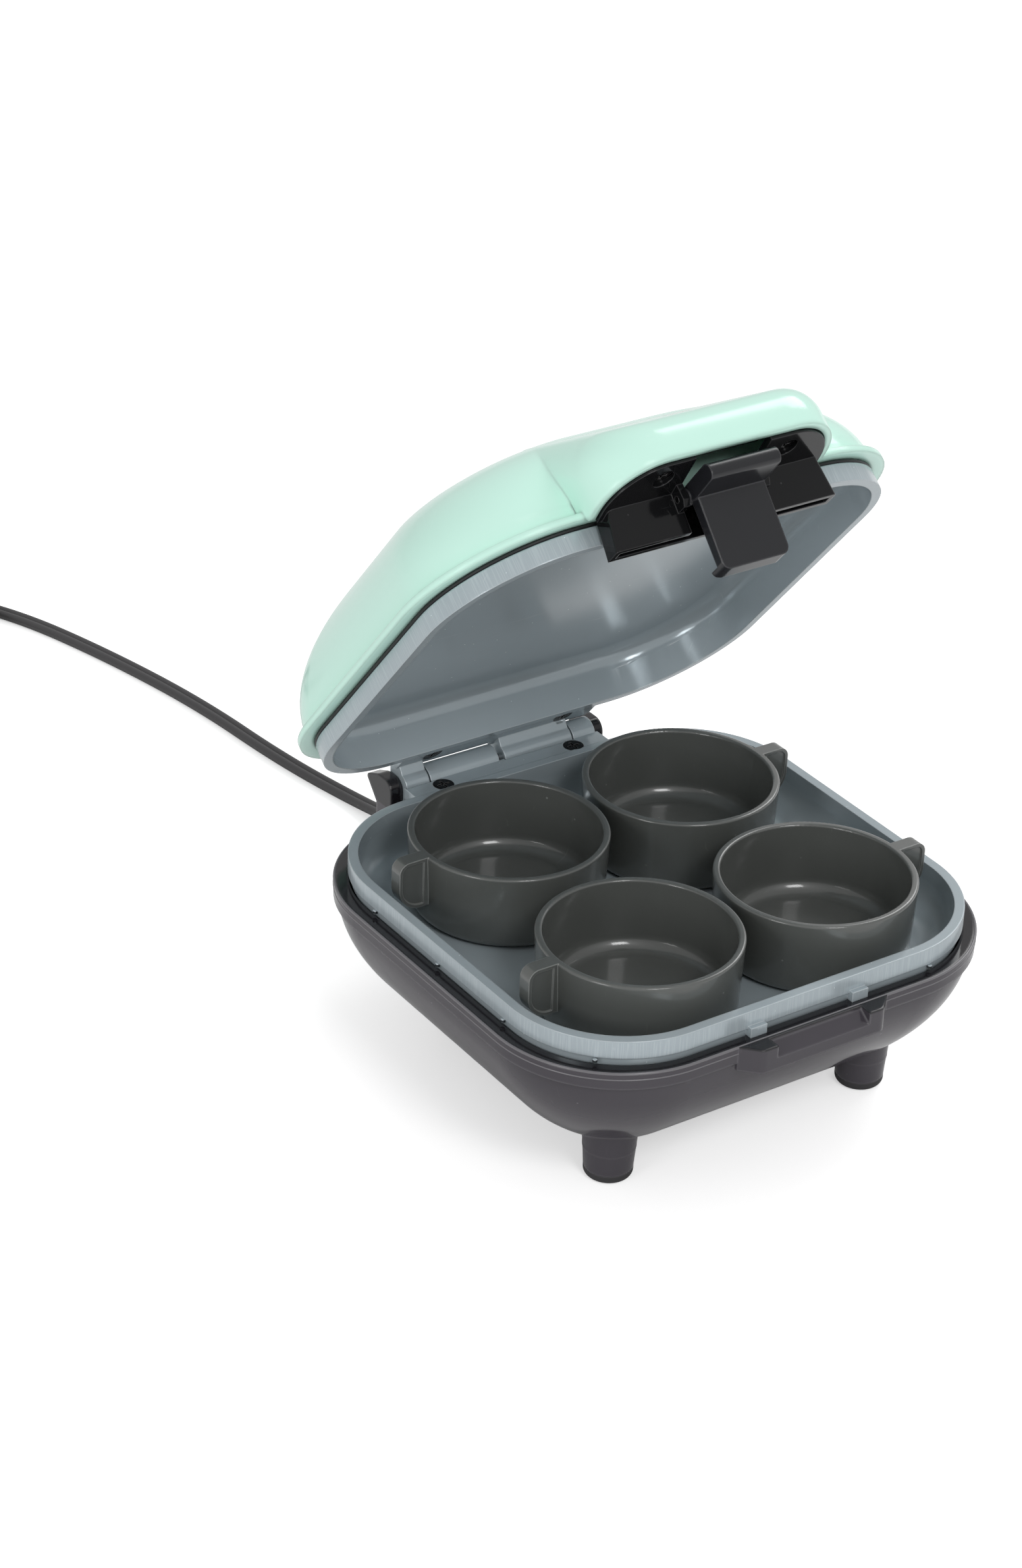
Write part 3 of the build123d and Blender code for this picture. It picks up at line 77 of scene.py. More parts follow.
bpy.ops.mesh.primitive_plane_add(size=8, location=(0, 0, 0))
floor = bpy.context.object
floor.name = "studio_floor"
floor_white = bpy.data.materials.new("studio_floor_white")
floor_white.use_nodes = True
nodes, links = floor_white.node_tree.nodes, floor_white.node_tree.links
paper = nodes["Principled BSDF"]
paper.inputs["Base Color"].default_value = (0.86, 0.86, 0.86, 1)
paper.inputs["Roughness"].default_value = 0.95
paper.inputs["Specular IOR Level"].default_value = 0.0
paper.inputs["Emission Color"].default_value = (1, 1, 1, 1)
seen = nodes.new("ShaderNodeLightPath")
glow = nodes.new("ShaderNodeMath")
glow.operation = "MULTIPLY"
glow.inputs[1].default_value = floor_glow
links.new(seen.outputs["Is Camera Ray"], glow.inputs[0])
links.new(glow.outputs[0], paper.inputs["Emission Strength"])
floor.data.materials.append(floor_white)

world = bpy.data.worlds.new("studio_room")
bpy.context.scene.world = world
world.use_nodes = True
nodes, links = world.node_tree.nodes, world.node_tree.links
room = nodes["Background"]
room.inputs["Color"].default_value = (1, 1, 1, 1)
seen = nodes.new("ShaderNodeLightPath")
level = nodes.new("ShaderNodeMapRange")
level.inputs["To Min"].default_value = room_light
level.inputs["To Max"].default_value = room_seen
links.new(seen.outputs["Is Camera Ray"], level.inputs["Value"])
links.new(level.outputs["Result"], room.inputs["Strength"])

for name, place, size, power in soft_boxes:
    lamp_data = bpy.data.lights.new(name, "AREA")
    lamp_data.size = size
    lamp_data.energy = power
    lamp = bpy.data.objects.new(name, lamp_data)
    lamp.location = place
    lamp.rotation_euler = (lamp_aim - Vector(place)).to_track_quat("-Z", "Y").to_euler()
    bpy.context.collection.objects.link(lamp)

bpy.context.scene.view_settings.view_transform = "Standard"

# ---- Power cord ----
# A flat two-core lead in soft dark grey sheathing. It leaves a rubber
# sleeve behind the hinge, runs back along the table and is wound up out
# of the way, with its moulded plug beside the coil.
cord_width = 0.0058
cord_rest = 0.0018
cord_exit = (0, 0.0893, 0.026)
cord_points = [cord_exit, (0, 0.1103, 0.026), (0.0025, 0.1333, 0.0085),
               (0.004, 0.1563, cord_rest), (-0.0045, 0.1983, cord_rest),
               (-0.009, 0.2483, cord_rest), (-0.0195, 0.2973, cord_rest),
               (-0.033, 0.3413, cord_rest), (-0.052, 0.3713, cord_rest)]

# Each turn of the coil lies a little inside the last, and the later
# turns climb onto the first.
coil_centre = (-0.078, 0.3543)
coil_radius = 0.031
coil_spread = 0.0029
coil_climb = 0.0050
coil_start = math.radians(33)
coil_turns = 2.3
coil_steps = 34
climb_rate = 2.2
climb_wait = 0.8
for step in range(1, coil_steps + 1):
    share = step / coil_steps
    angle = coil_start + share * coil_turns * math.tau
    radius = coil_radius + coil_spread * math.cos(share * coil_turns * math.pi)
    climbed = max(0.0, min(1.0, climb_rate * share - climb_wait))
    cord_points.append((coil_centre[0] + radius * math.cos(angle),
                        coil_centre[1] + radius * math.sin(angle),
                        cord_rest + coil_climb * climbed))
route = bpy.data.curves.new("power_cord_route", "CURVE")
route.dimensions = "3D"
run = route.splines.new("NURBS")
run.points.add(len(cord_points) - 1)
for point, place in zip(run.points, cord_points):
    point.co = (*place, 1)
run.order_u = 3
run.use_endpoint_u = True
route.resolution_u = 12
route.twist_mode = "Z_UP"
line = bpy.data.objects.new("power_cord_line", route)
bpy.context.collection.objects.link(line)
middle_line = bpy.data.meshes.new_from_object(line)

# The section is two round cores that meet in a shallow groove.
core_radius = 0.0016
core_offset = cord_width / 2 - core_radius
arc_steps = 8
arc_step = math.radians(18.5)
section_curve = bpy.data.curves.new("cord_section", "CURVE")
section_curve.dimensions = "2D"
section = section_curve.splines.new("POLY")
section_points = []
for side in (1, -1):
    for step in range(-arc_steps, arc_steps + 1):
        angle = step * arc_step + (0 if side > 0 else math.pi)
        section_points.append((side * core_offset + core_radius * math.cos(angle),
                               core_radius * math.sin(angle)))
section.points.add(len(section_points) - 1)
for point, (across, up) in zip(section.points, section_points):
    point.co = (across, up, 0, 1)
section.use_cyclic_u = True
core_pair = bpy.data.objects.new("cord_section", section_curve)
bpy.context.collection.objects.link(core_pair)
route.bevel_mode = "OBJECT"
route.bevel_object = core_pair
route.use_fill_caps = True
bpy.ops.object.select_all(action="DESELECT")
line.select_set(True)
bpy.context.view_layer.objects.active = line
bpy.ops.object.convert(target="MESH")
cord = bpy.context.object
cord.name = "cord_run"
bpy.data.objects.remove(core_pair)
bpy.ops.object.shade_smooth_by_angle(angle=math.radians(35))
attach(cord, "base")
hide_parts("power_cord", "power_cord_coil")

# ---- Base shell ----
# A deep bowl injection moulded in dark grey plastic, gloss outside, with
# a stepped flange round its mouth, four hollow feet and the hinge
# cheeks. Fine specks of dust and handling marks show on it.
def add_node(tree, kind, settings=(), values=()):
    """New node with its settings and the values of its open inputs."""
    node = tree.nodes.new(kind)
    for name, value in dict(settings).items():
        setattr(node, name, value)
    for name, value in dict(values).items():
        node.inputs[name].default_value = value
    return node


def surface_marks():
    """Group with the marks of a used moulding.

    It gives soft edges, a slow drift in tone, grain, specks of dust and scratches.
    """
    tree = bpy.data.node_groups.new("surface_marks", "ShaderNodeTree")
    for name, start in (("Edge Radius", 0.0003), ("Grain Scale", 900.0),
                        ("Speck Scale", 420.0), ("Scratch Scale", 60.0)):
        socket = tree.interface.new_socket(name, in_out="INPUT", socket_type="NodeSocketFloat")
        socket.default_value = start
    for name in ("Edge", "Drift", "Grain", "Specks", "Scratches"):
        tree.interface.new_socket(name, in_out="OUTPUT", socket_type="NodeSocketFloat")
    tree.interface.new_socket("Soft Normal", in_out="OUTPUT", socket_type="NodeSocketVector")
    wanted = tree.nodes.new("NodeGroupInput")
    result = tree.nodes.new("NodeGroupOutput")
    place = tree.nodes.new("ShaderNodeTexCoord")
    join = tree.links.new

    soft = add_node(tree, "ShaderNodeBevel", {"samples": 6})
    join(wanted.outputs["Edge Radius"], soft.inputs["Radius"])
    flat = tree.nodes.new("ShaderNodeNewGeometry")
    meet = add_node(tree, "ShaderNodeVectorMath", {"operation": "DOT_PRODUCT"})
    join(soft.outputs["Normal"], meet.inputs[0])
    join(flat.outputs["Normal"], meet.inputs[1])
    edge = add_node(tree, "ShaderNodeMapRange", values={"From Min": 0.995, "From Max": 0.86})
    join(meet.outputs["Value"], edge.inputs["Value"])
    join(soft.outputs["Normal"], result.inputs["Soft Normal"])
    join(edge.outputs["Result"], result.inputs["Edge"])

    drift = add_node(tree, "ShaderNodeTexNoise", values={"Scale": 22.0, "Detail": 4.0})
    join(place.outputs["Object"], drift.inputs["Vector"])
    join(drift.outputs["Fac"], result.inputs["Drift"])

    grain = add_node(tree, "ShaderNodeTexNoise", values={"Detail": 3.0})
    join(place.outputs["Object"], grain.inputs["Vector"])
    join(wanted.outputs["Grain Scale"], grain.inputs["Scale"])
    join(grain.outputs["Fac"], result.inputs["Grain"])

    dust = tree.nodes.new("ShaderNodeTexVoronoi")
    join(place.outputs["Object"], dust.inputs["Vector"])
    join(wanted.outputs["Speck Scale"], dust.inputs["Scale"])
    dot = add_node(tree, "ShaderNodeMapRange", values={"From Min": 0.12, "From Max": 0.05})
    join(dust.outputs["Distance"], dot.inputs["Value"])
    cell = tree.nodes.new("ShaderNodeSeparateColor")
    join(dust.outputs["Color"], cell.inputs["Color"])
    few = add_node(tree, "ShaderNodeMapRange", values={"From Min": 0.90, "From Max": 0.93})
    join(cell.outputs["Red"], few.inputs["Value"])
    specks = add_node(tree, "ShaderNodeMath", {"operation": "MULTIPLY"})
    join(dot.outputs["Result"], specks.inputs[0])
    join(few.outputs["Result"], specks.inputs[1])
    join(specks.outputs["Value"], result.inputs["Specks"])

    stretch = add_node(tree, "ShaderNodeMapping",
                       values={"Rotation": (0.4, 0.9, 0.3), "Scale": (1.0, 14.0, 2.0)})
    join(place.outputs["Object"], stretch.inputs["Vector"])
    lines = add_node(tree, "ShaderNodeTexNoise", values={"Detail": 2.0, "Distortion": 0.6})
    join(stretch.outputs["Vector"], lines.inputs["Vector"])
    join(wanted.outputs["Scratch Scale"], lines.inputs["Scale"])
    thin = add_node(tree, "ShaderNodeMapRange", values={"From Min": 0.70, "From Max": 0.76})
    join(lines.outputs["Fac"], thin.inputs["Value"])
    join(thin.outputs["Result"], result.inputs["Scratches"])
    return tree


marks = surface_marks()
wear_dulling = 0.25


def finished_material(name, colour, worn_and_highlight, roughness, spread, grain_depth=0.000004,
                      edge_radius=0.0004, grain_scale=900.0, speck_scale=420.0, edge_wear_and_highlight=0.35,
                      speck_tone=0.5, scratch_tone=0.06, tint=0.05, **shader):
    """Material of one moulding, in its colour, with a lighter colour on edges as wear and painted
    highlight, and on dust and scratches.

    The colour drifts by the tint and the roughness by the spread. Any further keyword is a
    socket of the shader, with its spaces written as underscores.
    """
    material = bpy.data.materials.new(name)
    material.use_nodes = True
    tree = material.node_tree
    join = tree.links.new
    surface = tree.nodes["Principled BSDF"]
    for socket, value in shader.items():
        surface.inputs[socket.replace("_", " ")].default_value = value
    wear = add_node(tree, "ShaderNodeGroup", {"node_tree": marks},
                    {"Edge Radius": edge_radius, "Grain Scale": grain_scale,
                     "Speck Scale": speck_scale})

    tone = add_node(tree, "ShaderNodeMapRange", values={"To Min": 1 - tint, "To Max": 1 + tint})
    join(wear.outputs["Drift"], tone.inputs["Value"])
    base = add_node(tree, "ShaderNodeMix", {"data_type": "RGBA", "blend_type": "MULTIPLY"})
    base.inputs["Factor"].default_value = 1.0
    base.inputs["A"].default_value = (*colour, 1)
    join(tone.outputs["Result"], base.inputs["B"])

    # Edges take the lighter colour as wear and as painted highlight; specks and scratches take it
    # as dust and wear.
    wear_and_highlight_share = None
    for mask, amount in (("Edge", edge_wear_and_highlight), ("Specks", speck_tone), ("Scratches", scratch_tone)):
        part = add_node(tree, "ShaderNodeMath", {"operation": "MULTIPLY"})
        part.inputs[1].default_value = amount
        join(wear.outputs[mask], part.inputs[0])
        if wear_and_highlight_share is None:
            wear_and_highlight_share = part
            continue
        larger = add_node(tree, "ShaderNodeMath", {"operation": "MAXIMUM"})
        join(wear_and_highlight_share.outputs[0], larger.inputs[0])
        join(part.outputs[0], larger.inputs[1])
        wear_and_highlight_share = larger
    skin = add_node(tree, "ShaderNodeMix", {"data_type": "RGBA"})
    skin.inputs["B"].default_value = (*worn_and_highlight, 1)
    join(wear_and_highlight_share.outputs[0], skin.inputs["Factor"])
    join(base.outputs["Result"], skin.inputs["A"])
    join(skin.outputs["Result"], surface.inputs["Base Color"])

    rough = add_node(tree, "ShaderNodeMapRange",
                     values={"To Min": roughness - spread, "To Max": roughness + spread})
    join(wear.outputs["Drift"], rough.inputs["Value"])
    dull = add_node(tree, "ShaderNodeMath", {"operation": "MULTIPLY_ADD"})
    dull.inputs[1].default_value = wear_dulling
    join(wear_and_highlight_share.outputs[0], dull.inputs[0])
    join(rough.outputs["Result"], dull.inputs[2])
    join(dull.outputs[0], surface.inputs["Roughness"])

    relief = add_node(tree, "ShaderNodeBump", values={"Strength": 1.0, "Distance": grain_depth})
    join(wear.outputs["Grain"], relief.inputs["Height"])
    join(wear.outputs["Soft Normal"], relief.inputs["Normal"])
    join(relief.outputs["Normal"], surface.inputs["Normal"])
    join(relief.outputs["Normal"], surface.inputs["Coat Normal"])
    return material


def dress(material, *names):
    """Give the named solids one material."""
    for name in names:
        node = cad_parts[name]
        node.data.materials.clear()
        node.data.materials.append(material)


corner_names = ("front_left", "front_right", "back_left", "back_right")
base_grey = finished_material("base_grey_moulding", (0.050, 0.045, 0.054), (0.26, 0.25, 0.27),
                              roughness=0.10, spread=0.03, edge_radius=0.0012, speck_scale=300.0)
dress(base_grey, "base_shell")

# The flange's flat top and the hinge cheeks above it are painted a deeper black than the bowl,
# by height: on the flange top this is painted shade under the pan band.
flange_top = 0.0540
painted_shade_tone = 0.22
tree = base_grey.node_tree
base_color = tree.nodes["Principled BSDF"].inputs["Base Color"]
skin = base_color.links[0].from_socket
place = tree.nodes.new("ShaderNodeTexCoord")
height = tree.nodes.new("ShaderNodeSeparateXYZ")
depth = add_node(tree, "ShaderNodeMapRange",
                 values={"From Min": flange_top - 0.0002, "From Max": flange_top + 0.0003,
                         "To Min": 1.0, "To Max": painted_shade_tone})
flange_painted_shade = add_node(tree, "ShaderNodeMix", {"data_type": "RGBA", "blend_type": "MULTIPLY"})
flange_painted_shade.inputs["Factor"].default_value = 1.0
tree.links.new(place.outputs["Object"], height.inputs["Vector"])
tree.links.new(height.outputs["Z"], depth.inputs["Value"])
tree.links.new(skin, flange_painted_shade.inputs["A"])
tree.links.new(depth.outputs["Result"], flange_painted_shade.inputs["B"])
tree.links.new(flange_painted_shade.outputs["Result"], base_color)


def rounded_ring(name, half_width, half_depth, corner, height, thickness):
    """Thin bead round a rectangle with round corners, drawn as a wire and then thickened."""
    bpy.ops.object.select_all(action="DESELECT")
    bpy.ops.mesh.primitive_plane_add(size=2)
    ring = bpy.context.object
    ring.name = name
    bpy.ops.object.mode_set(mode="EDIT")
    bpy.ops.mesh.select_all(action="SELECT")
    bpy.ops.transform.resize(value=(half_width, half_depth, 1))
    bpy.ops.transform.translate(value=(0, body_middle, height))
    bpy.ops.mesh.bevel(affect="VERTICES", offset=corner, segments=28, profile=0.5,
                       clamp_overlap=False)
    bpy.ops.mesh.delete(type="ONLY_FACE")
    bpy.ops.object.mode_set(mode="OBJECT")
    bpy.ops.object.convert(target="CURVE")
    ring.data.bevel_depth = thickness / 2
    ring.data.bevel_resolution = 3
    bpy.ops.object.convert(target="MESH")
    bpy.ops.object.shade_smooth()
    return ring


# Two fine beads follow the flange, one on its upper edge and one below, in a lighter grey than the
# bowl that is painted highlight along these edges.
base_half_width, base_half_depth, base_corner = 0.0820, 0.0785, 0.0405
bead_highlight_grey = finished_material("flange_bead", (0.15, 0.145, 0.155), (0.34, 0.33, 0.35),
                              roughness=0.16, spread=0.04)
for name, inset, bead_height, thickness in (("flange_bead_upper", 0.0003, 0.0542, 0.0009),
                                            ("flange_bead_lower", 0.0001, 0.0523, 0.0005)):
    bead = rounded_ring(name, base_half_width - inset, base_half_depth - inset,
                        base_corner - inset, bead_height, thickness)
    bead.data.materials.append(bead_highlight_grey)
    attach(bead, "base")

# ---- Foot pads ----
# Soft dark rubber buttons pushed into the hollow feet, which stand on
# the table and cover the housing screws.
pad_rubber = finished_material("foot_pad_rubber", (0.030, 0.029, 0.031), (0.16, 0.155, 0.16),
                               roughness=0.62, spread=0.06, grain_depth=0.00002,
                               grain_scale=1500.0)
dress(pad_rubber, *("foot_pad_" + corner for corner in corner_names))

# ---- Lower and upper pan ----
# Two pressure die castings in aluminium with a grey-blue non-stick
# coat: satin, finely speckled, and rubbed by the trimming tool in fine
# lines across the band round each rim.
hinge_place = Vector((0, 0.0776656, 0.0601))
lid_angle = math.radians(-50)
lid_turn = (Matrix.Translation(hinge_place) @ Matrix.Rotation(lid_angle, 4, "X")
            @ Matrix.Translation(-hinge_place))
rubbed_colour = (0.74, 0.80, 0.84, 1)
rubbed_share = 0.14
line_scale = 2600.0
line_stretch = (1.0, 1.0, 0.03)
band_fade = 0.0004


def pan_coating(name, turn, band_low, band_high):
    """The coat, with trimming lines on the outside of the band between two heights.

    The heights are those of the pan once turn has brought it level.
    """
    coat = finished_material(name, (0.400, 0.458, 0.488), (0.74, 0.78, 0.80),
                             roughness=0.20, spread=0.05, grain_depth=0.00001,
                             edge_radius=0.0005, grain_scale=1400.0, speck_scale=520.0,
                             edge_wear_and_highlight=0.45, speck_tone=0.6, scratch_tone=0.12, tint=0.04,
                             Metallic=0.25)
    tree = coat.node_tree
    join = tree.links.new
    base_color = tree.nodes["Principled BSDF"].inputs["Base Color"]
    skin = base_color.links[0].from_socket
    place = tree.nodes.new("ShaderNodeTexCoord")
    level = add_node(tree, "ShaderNodeMapping", values={"Location": turn.to_translation(),
                                                        "Rotation": turn.to_euler()})
    join(place.outputs["Object"], level.inputs["Vector"])

    squeeze = add_node(tree, "ShaderNodeMapping", values={"Scale": line_stretch})
    lines = add_node(tree, "ShaderNodeTexNoise", values={"Scale": line_scale, "Detail": 1.0})
    thin = add_node(tree, "ShaderNodeMapRange", values={"From Min": 0.50, "From Max": 0.64})
    join(level.outputs["Vector"], squeeze.inputs["Vector"])
    join(squeeze.outputs["Vector"], lines.inputs["Vector"])
    join(lines.outputs["Fac"], thin.inputs["Value"])

    height = tree.nodes.new("ShaderNodeSeparateXYZ")
    above = add_node(tree, "ShaderNodeMapRange",
                     values={"From Min": band_low, "From Max": band_low + band_fade})
    below = add_node(tree, "ShaderNodeMapRange",
                     values={"From Min": band_high, "From Max": band_high - band_fade})
    join(level.outputs["Vector"], height.inputs["Vector"])
    join(height.outputs["Z"], above.inputs["Value"])
    join(height.outputs["Z"], below.inputs["Value"])

    away = add_node(tree, "ShaderNodeVectorMath", {"operation": "SUBTRACT"})
    away.inputs[1].default_value = turn.inverted() @ Vector((0, body_middle, band_low))
    facing = add_node(tree, "ShaderNodeVectorMath", {"operation": "DOT_PRODUCT"})
    outer = add_node(tree, "ShaderNodeMapRange", values={"From Min": 0.030, "From Max": 0.045})
    join(place.outputs["Object"], away.inputs[0])
    join(away.outputs["Vector"], facing.inputs[0])
    join(place.outputs["Normal"], facing.inputs[1])
    join(facing.outputs["Value"], outer.inputs["Value"])

    share = thin.outputs["Result"]
    for mask in (above, below, outer):
        both = add_node(tree, "ShaderNodeMath", {"operation": "MULTIPLY"})
        join(share, both.inputs[0])
        join(mask.outputs["Result"], both.inputs[1])
        share = both.outputs[0]
    faint = add_node(tree, "ShaderNodeMath", {"operation": "MULTIPLY"})
    faint.inputs[1].default_value = rubbed_share
    rubbed = add_node(tree, "ShaderNodeMix", {"data_type": "RGBA"})
    rubbed.inputs["B"].default_value = rubbed_colour
    join(share, faint.inputs[0])
    join(faint.outputs[0], rubbed.inputs["Factor"])
    join(skin, rubbed.inputs["A"])
    join(rubbed.outputs["Result"], base_color)
    return coat


lower_coat = pan_coating("lower_pan_coating", Matrix.Identity(4), 0.0564, 0.0623)
dress(lower_coat, "lower_pan")

# Stubs of the runners that fed the casting stand out below its band.
stub_places = ((-0.0775, 0.0244), (-0.0775, -0.0095), (-0.0775, -0.0435),
               (-0.0668, -0.0736), (0.0454, -0.0836))
stub_radius, stub_length, stub_height, stub_round = 0.0007, 0.0012, 0.0560, 0.0002
for index, (across, along) in enumerate(stub_places):
    bpy.ops.object.select_all(action="DESELECT")
    bpy.ops.mesh.primitive_cylinder_add(vertices=20, radius=stub_radius, depth=stub_length,
                                        location=(0, 0, 0))
    stub = bpy.context.object
    stub.name = "casting_stub_" + str(index + 1)
    bpy.ops.object.mode_set(mode="EDIT")
    bpy.ops.mesh.select_all(action="SELECT")
    bpy.ops.mesh.bevel(offset=stub_round, segments=2)
    bpy.ops.transform.translate(value=(across, along, stub_height))
    bpy.ops.object.mode_set(mode="OBJECT")
    bpy.ops.object.shade_smooth_by_angle(angle=math.radians(40))
    stub.data.materials.append(lower_coat)
    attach(stub, "base")

# The lid's pan is one casting: its rim and its dished floor are joined
# here into a single skin.
weld_distance = 0.000001


def welded_copy(node_name, copy_name):
    """Loose copy of a solid with its corners welded, left selected and active."""
    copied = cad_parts[node_name].copy()
    copied.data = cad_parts[node_name].data.copy()
    copied.name = copy_name
    copied.parent = None
    bpy.context.collection.objects.link(copied)
    bpy.ops.object.select_all(action="DESELECT")
    copied.select_set(True)
    bpy.context.view_layer.objects.active = copied
    bpy.ops.object.mode_set(mode="EDIT")
    bpy.ops.mesh.select_all(action="SELECT")
    bpy.ops.mesh.remove_doubles(threshold=weld_distance)
    bpy.ops.object.mode_set(mode="OBJECT")
    return copied


lid_pan_rim = welded_copy("upper_pan_rim", "lid_pan_rim")
lid_pan = welded_copy("upper_pan", "lid_pan")
union = lid_pan.modifiers.new("one_casting", "BOOLEAN")
union.operation = "UNION"
union.object = lid_pan_rim
bpy.ops.object.modifier_apply(modifier=union.name)
bpy.data.objects.remove(lid_pan_rim)
bpy.ops.object.mode_set(mode="EDIT")
bpy.ops.mesh.select_all(action="SELECT")
bpy.ops.mesh.remove_doubles(threshold=weld_distance)
bpy.ops.mesh.dissolve_limited(angle_limit=math.radians(0.4))
bpy.ops.object.mode_set(mode="OBJECT")
bpy.ops.object.shade_smooth_by_angle(angle=math.radians(30))
shading = lid_pan.modifiers.new("even_shading", "WEIGHTED_NORMAL")
shading.mode = "FACE_AREA"
shading.weight = 50
shading.keep_sharp = True
bpy.ops.object.modifier_apply(modifier=shading.name)
lid_pan.data.materials.clear()
lid_pan.data.materials.append(pan_coating("lid_pan_coating", lid_turn.inverted(), 0.0641, 0.0699))
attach(lid_pan, "lid")
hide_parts("upper_pan", "upper_pan_rim")

# A thin near black ring lies in the gap between the casting's band and the lid shell,
# as painted shadow in that gap.
gap_shadow_black = finished_material("gap_painted_shadow", (0.006, 0.006, 0.007), (0.05, 0.05, 0.05),
                               roughness=0.5, spread=0.06)
gap_shadow_ring = rounded_ring("lid_gap_shadow", 0.0770, 0.0744, 0.0365, 0.0707, 0.0012)
gap_shadow_ring.data.transform(lid_turn)
gap_shadow_ring.data.materials.append(gap_shadow_black)
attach(gap_shadow_ring, "lid")

# ---- Cups ----
# Four cups moulded in dark grey silicone, matt in itself with a glossy
# skin, lifted out by the solid tab at their outer side.
cup_rubber = finished_material("cup_silicone", (0.077, 0.082, 0.077), (0.34, 0.35, 0.34),
                               roughness=0.42, spread=0.04, grain_depth=0.000006,
                               edge_radius=0.0005, speck_scale=260.0, edge_wear_and_highlight=0.60,
                               Coat_Weight=1.0, Coat_Roughness=0.12)
dress(cup_rubber, *("cup_" + corner for corner in corner_names))

# ---- Lid shell ----
# The outer lid and its hood, one gloss moulding in pale green.
mint_gloss = finished_material("mint_gloss_moulding", (0.60, 0.90, 0.785), (0.86, 0.97, 0.93),
                               roughness=0.15, spread=0.03, grain_depth=0.000002,
                               edge_radius=0.0024, speck_scale=240.0, edge_wear_and_highlight=0.08,
                               speck_tone=0.12, scratch_tone=0.0, tint=0.012)
dress(mint_gloss, "lid_shell")

# A thin black sheet lies under the top of the hood, over the slot in which
# the latch rocks, so that the slot shows dark.
slot_sheet_size = (0.048, 0.019, 0.0006)
slot_sheet_place = (0, -0.0965, 0.0812)
bpy.ops.object.select_all(action="DESELECT")
bpy.ops.mesh.primitive_cube_add(size=1, location=(0, 0, 0))
slot_dark_sheet = bpy.context.object
slot_dark_sheet.name = "hood_slot_dark_sheet"
bpy.ops.object.mode_set(mode="EDIT")
bpy.ops.mesh.select_all(action="SELECT")
bpy.ops.transform.resize(value=slot_sheet_size)
bpy.ops.transform.translate(value=slot_sheet_place)
bpy.ops.mesh.bevel(offset=0.0002, segments=2)
bpy.ops.object.mode_set(mode="OBJECT")
slot_dark_sheet.data.transform(lid_turn)
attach(slot_dark_sheet, "lid")

# ---- Handle box ----
# A near black gloss moulding under the hood: a thin open box in front
# of the pans and the ceiling that the two handle screws go through.
black_gloss = finished_material("black_gloss_moulding", (0.006, 0.0062, 0.0068),
                                (0.10, 0.10, 0.105), roughness=0.10, spread=0.03,
                                edge_radius=0.0005, speck_scale=330.0, edge_wear_and_highlight=0.30,
                                Specular_IOR_Level=0.30)
dress(black_gloss, "handle_box")
slot_dark_sheet.data.materials.append(black_gloss)

# ---- Latch ----
# The rocking latch, moulded in dark grey with a duller skin, on a steel
# cross pin with a torsion spring.
latch_grey = finished_material("latch_grey_moulding", (0.013, 0.0135, 0.016), (0.14, 0.14, 0.15),
                               roughness=0.21, spread=0.04, edge_radius=0.0008,
                               speck_scale=330.0, edge_wear_and_highlight=0.30)
dress(latch_grey, "latch")

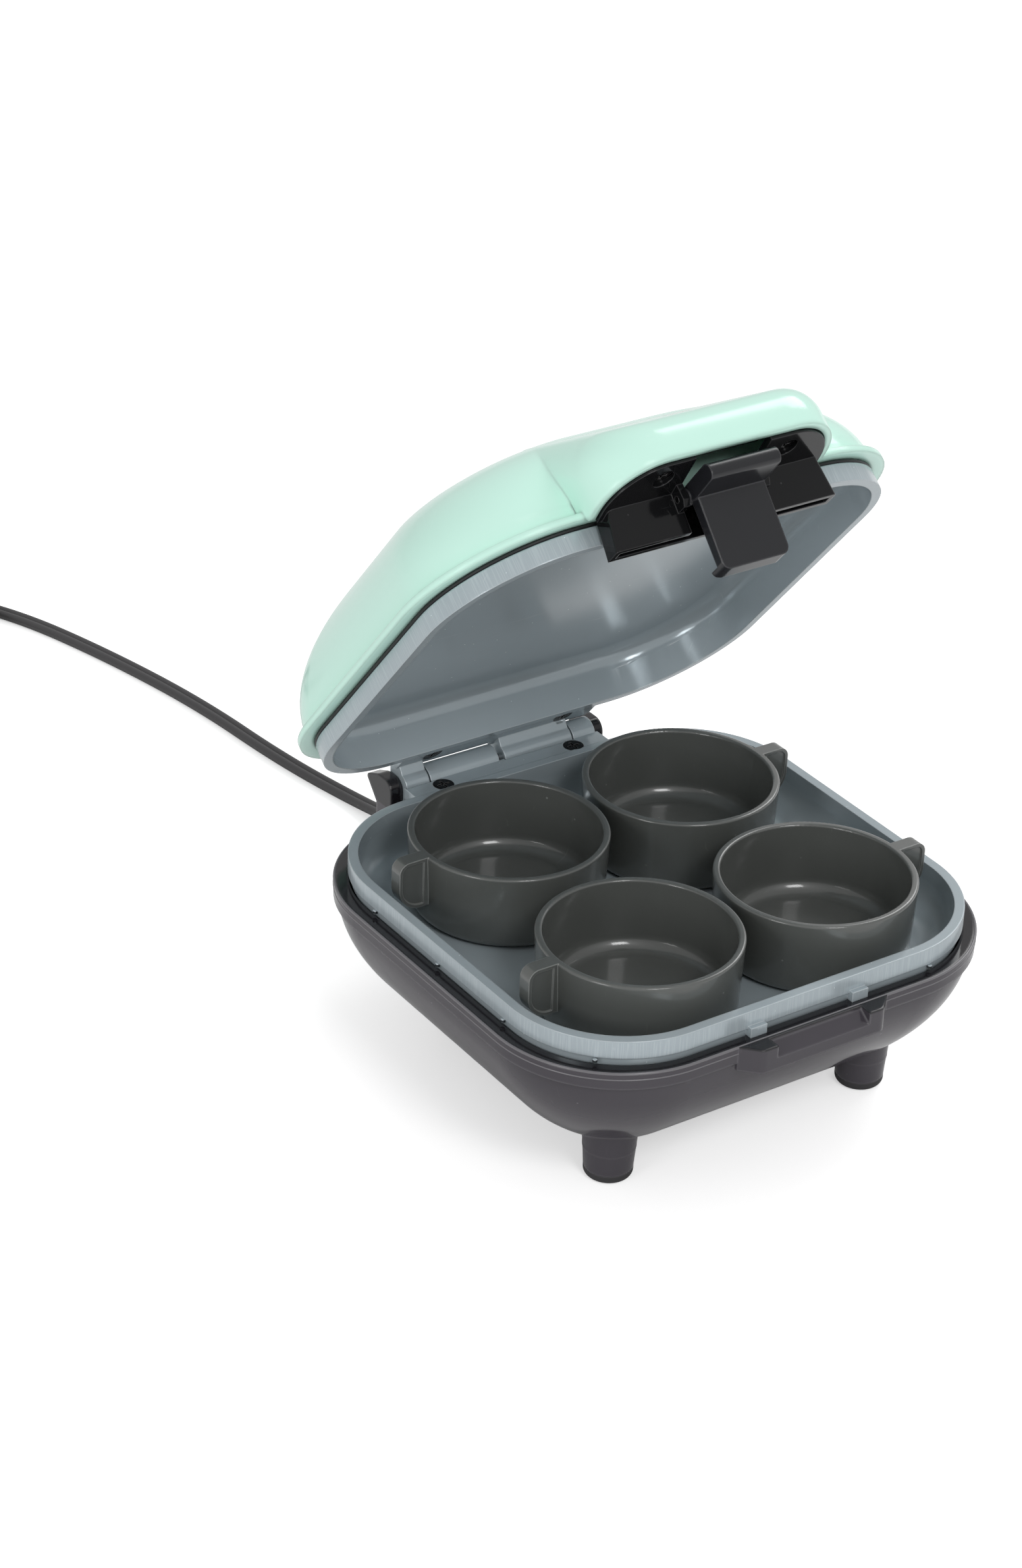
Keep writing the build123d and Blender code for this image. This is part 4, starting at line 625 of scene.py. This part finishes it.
# ---- Screws, pins and spring ----
# Blackened cross screws hold the pans by their hinge leaves and the
# handle box, and the latch's pin and spring share their finish. Plated
# steel has the hinge pin, the heater's fittings and the long screws
# under the feet.
black_screw = finished_material("blackened_screw", (0.025, 0.025, 0.026), (0.45, 0.45, 0.45),
                                roughness=0.26, spread=0.06, edge_radius=0.00025,
                                grain_scale=2500.0, edge_wear_and_highlight=0.5, Metallic=0.9)
plated_steel = finished_material("plated_steel", (0.56, 0.56, 0.57), (0.75, 0.75, 0.76),
                                 roughness=0.30, spread=0.06, edge_radius=0.00025,
                                 grain_scale=2500.0, Metallic=1.0)
for screw in ("base_hinge_screw", "lid_hinge_screw", "handle_screw"):
    dress(black_screw, screw + "_left", screw + "_right")
dress(black_screw, "latch_spring", "latch_pin")
dress(plated_steel, "hinge_pin", "clamp_screw", "thermostat", "element_clamp", "heat_shield")
dress(plated_steel, *("housing_screw_" + corner for corner in corner_names))

# ---- Heater and wiring ----
# Under the pan lie a steel sheathed heater, a pressed clamp, a
# thermostat, a thermal fuse, and leads to a white terminal block.
heater_steel = finished_material("heater_sheath", (0.12, 0.115, 0.11), (0.4, 0.36, 0.3),
                                 roughness=0.42, spread=0.08, Metallic=0.9)
ceramic = finished_material("white_ceramic", (0.78, 0.76, 0.70), (0.9, 0.89, 0.85),
                            roughness=0.38, spread=0.05, speck_tone=0.0)
lead_white = finished_material("lead_sleeving", (0.62, 0.62, 0.60), (0.8, 0.8, 0.78),
                               roughness=0.50, spread=0.05, speck_tone=0.0)
dress(heater_steel, "heating_element")
dress(ceramic, "thermal_fuse", "terminal_block")
dress(lead_white, "supply_leads", "heater_leads")

# ---- Indicator lamp ----
# A neon lamp behind a clear red lens that lies flush with the hood.
lens_red = finished_material("red_lens", (0.62, 0.03, 0.025), (0.9, 0.4, 0.35),
                             roughness=0.08, spread=0.02, speck_tone=0.2,
                             Transmission_Weight=0.4)
lamp_glass = finished_material("lamp_glass", (0.9, 0.62, 0.42), (1.0, 0.8, 0.6),
                               roughness=0.10, spread=0.02)
dress(lens_red, "indicator_lens")
dress(lamp_glass, "indicator_lamp")

# ---- Plug, sleeve and cord skin ----
# Soft dark grey rubber on the cord, the sleeve and the plug; the two
# blades are nickel plated brass.
cord_rubber = finished_material("cord_rubber", (0.052, 0.050, 0.052), (0.20, 0.195, 0.20),
                                roughness=0.42, spread=0.05, grain_depth=0.00001,
                                grain_scale=1800.0, edge_wear_and_highlight=0.2)
blade_metal = finished_material("plated_brass", (0.72, 0.66, 0.52), (0.9, 0.86, 0.76),
                                roughness=0.22, spread=0.05, Metallic=1.0)
dress(cord_rubber, "strain_relief", "plug_body")
dress(blade_metal, "plug_blade_left", "plug_blade_right")
cord.data.materials.append(cord_rubber)
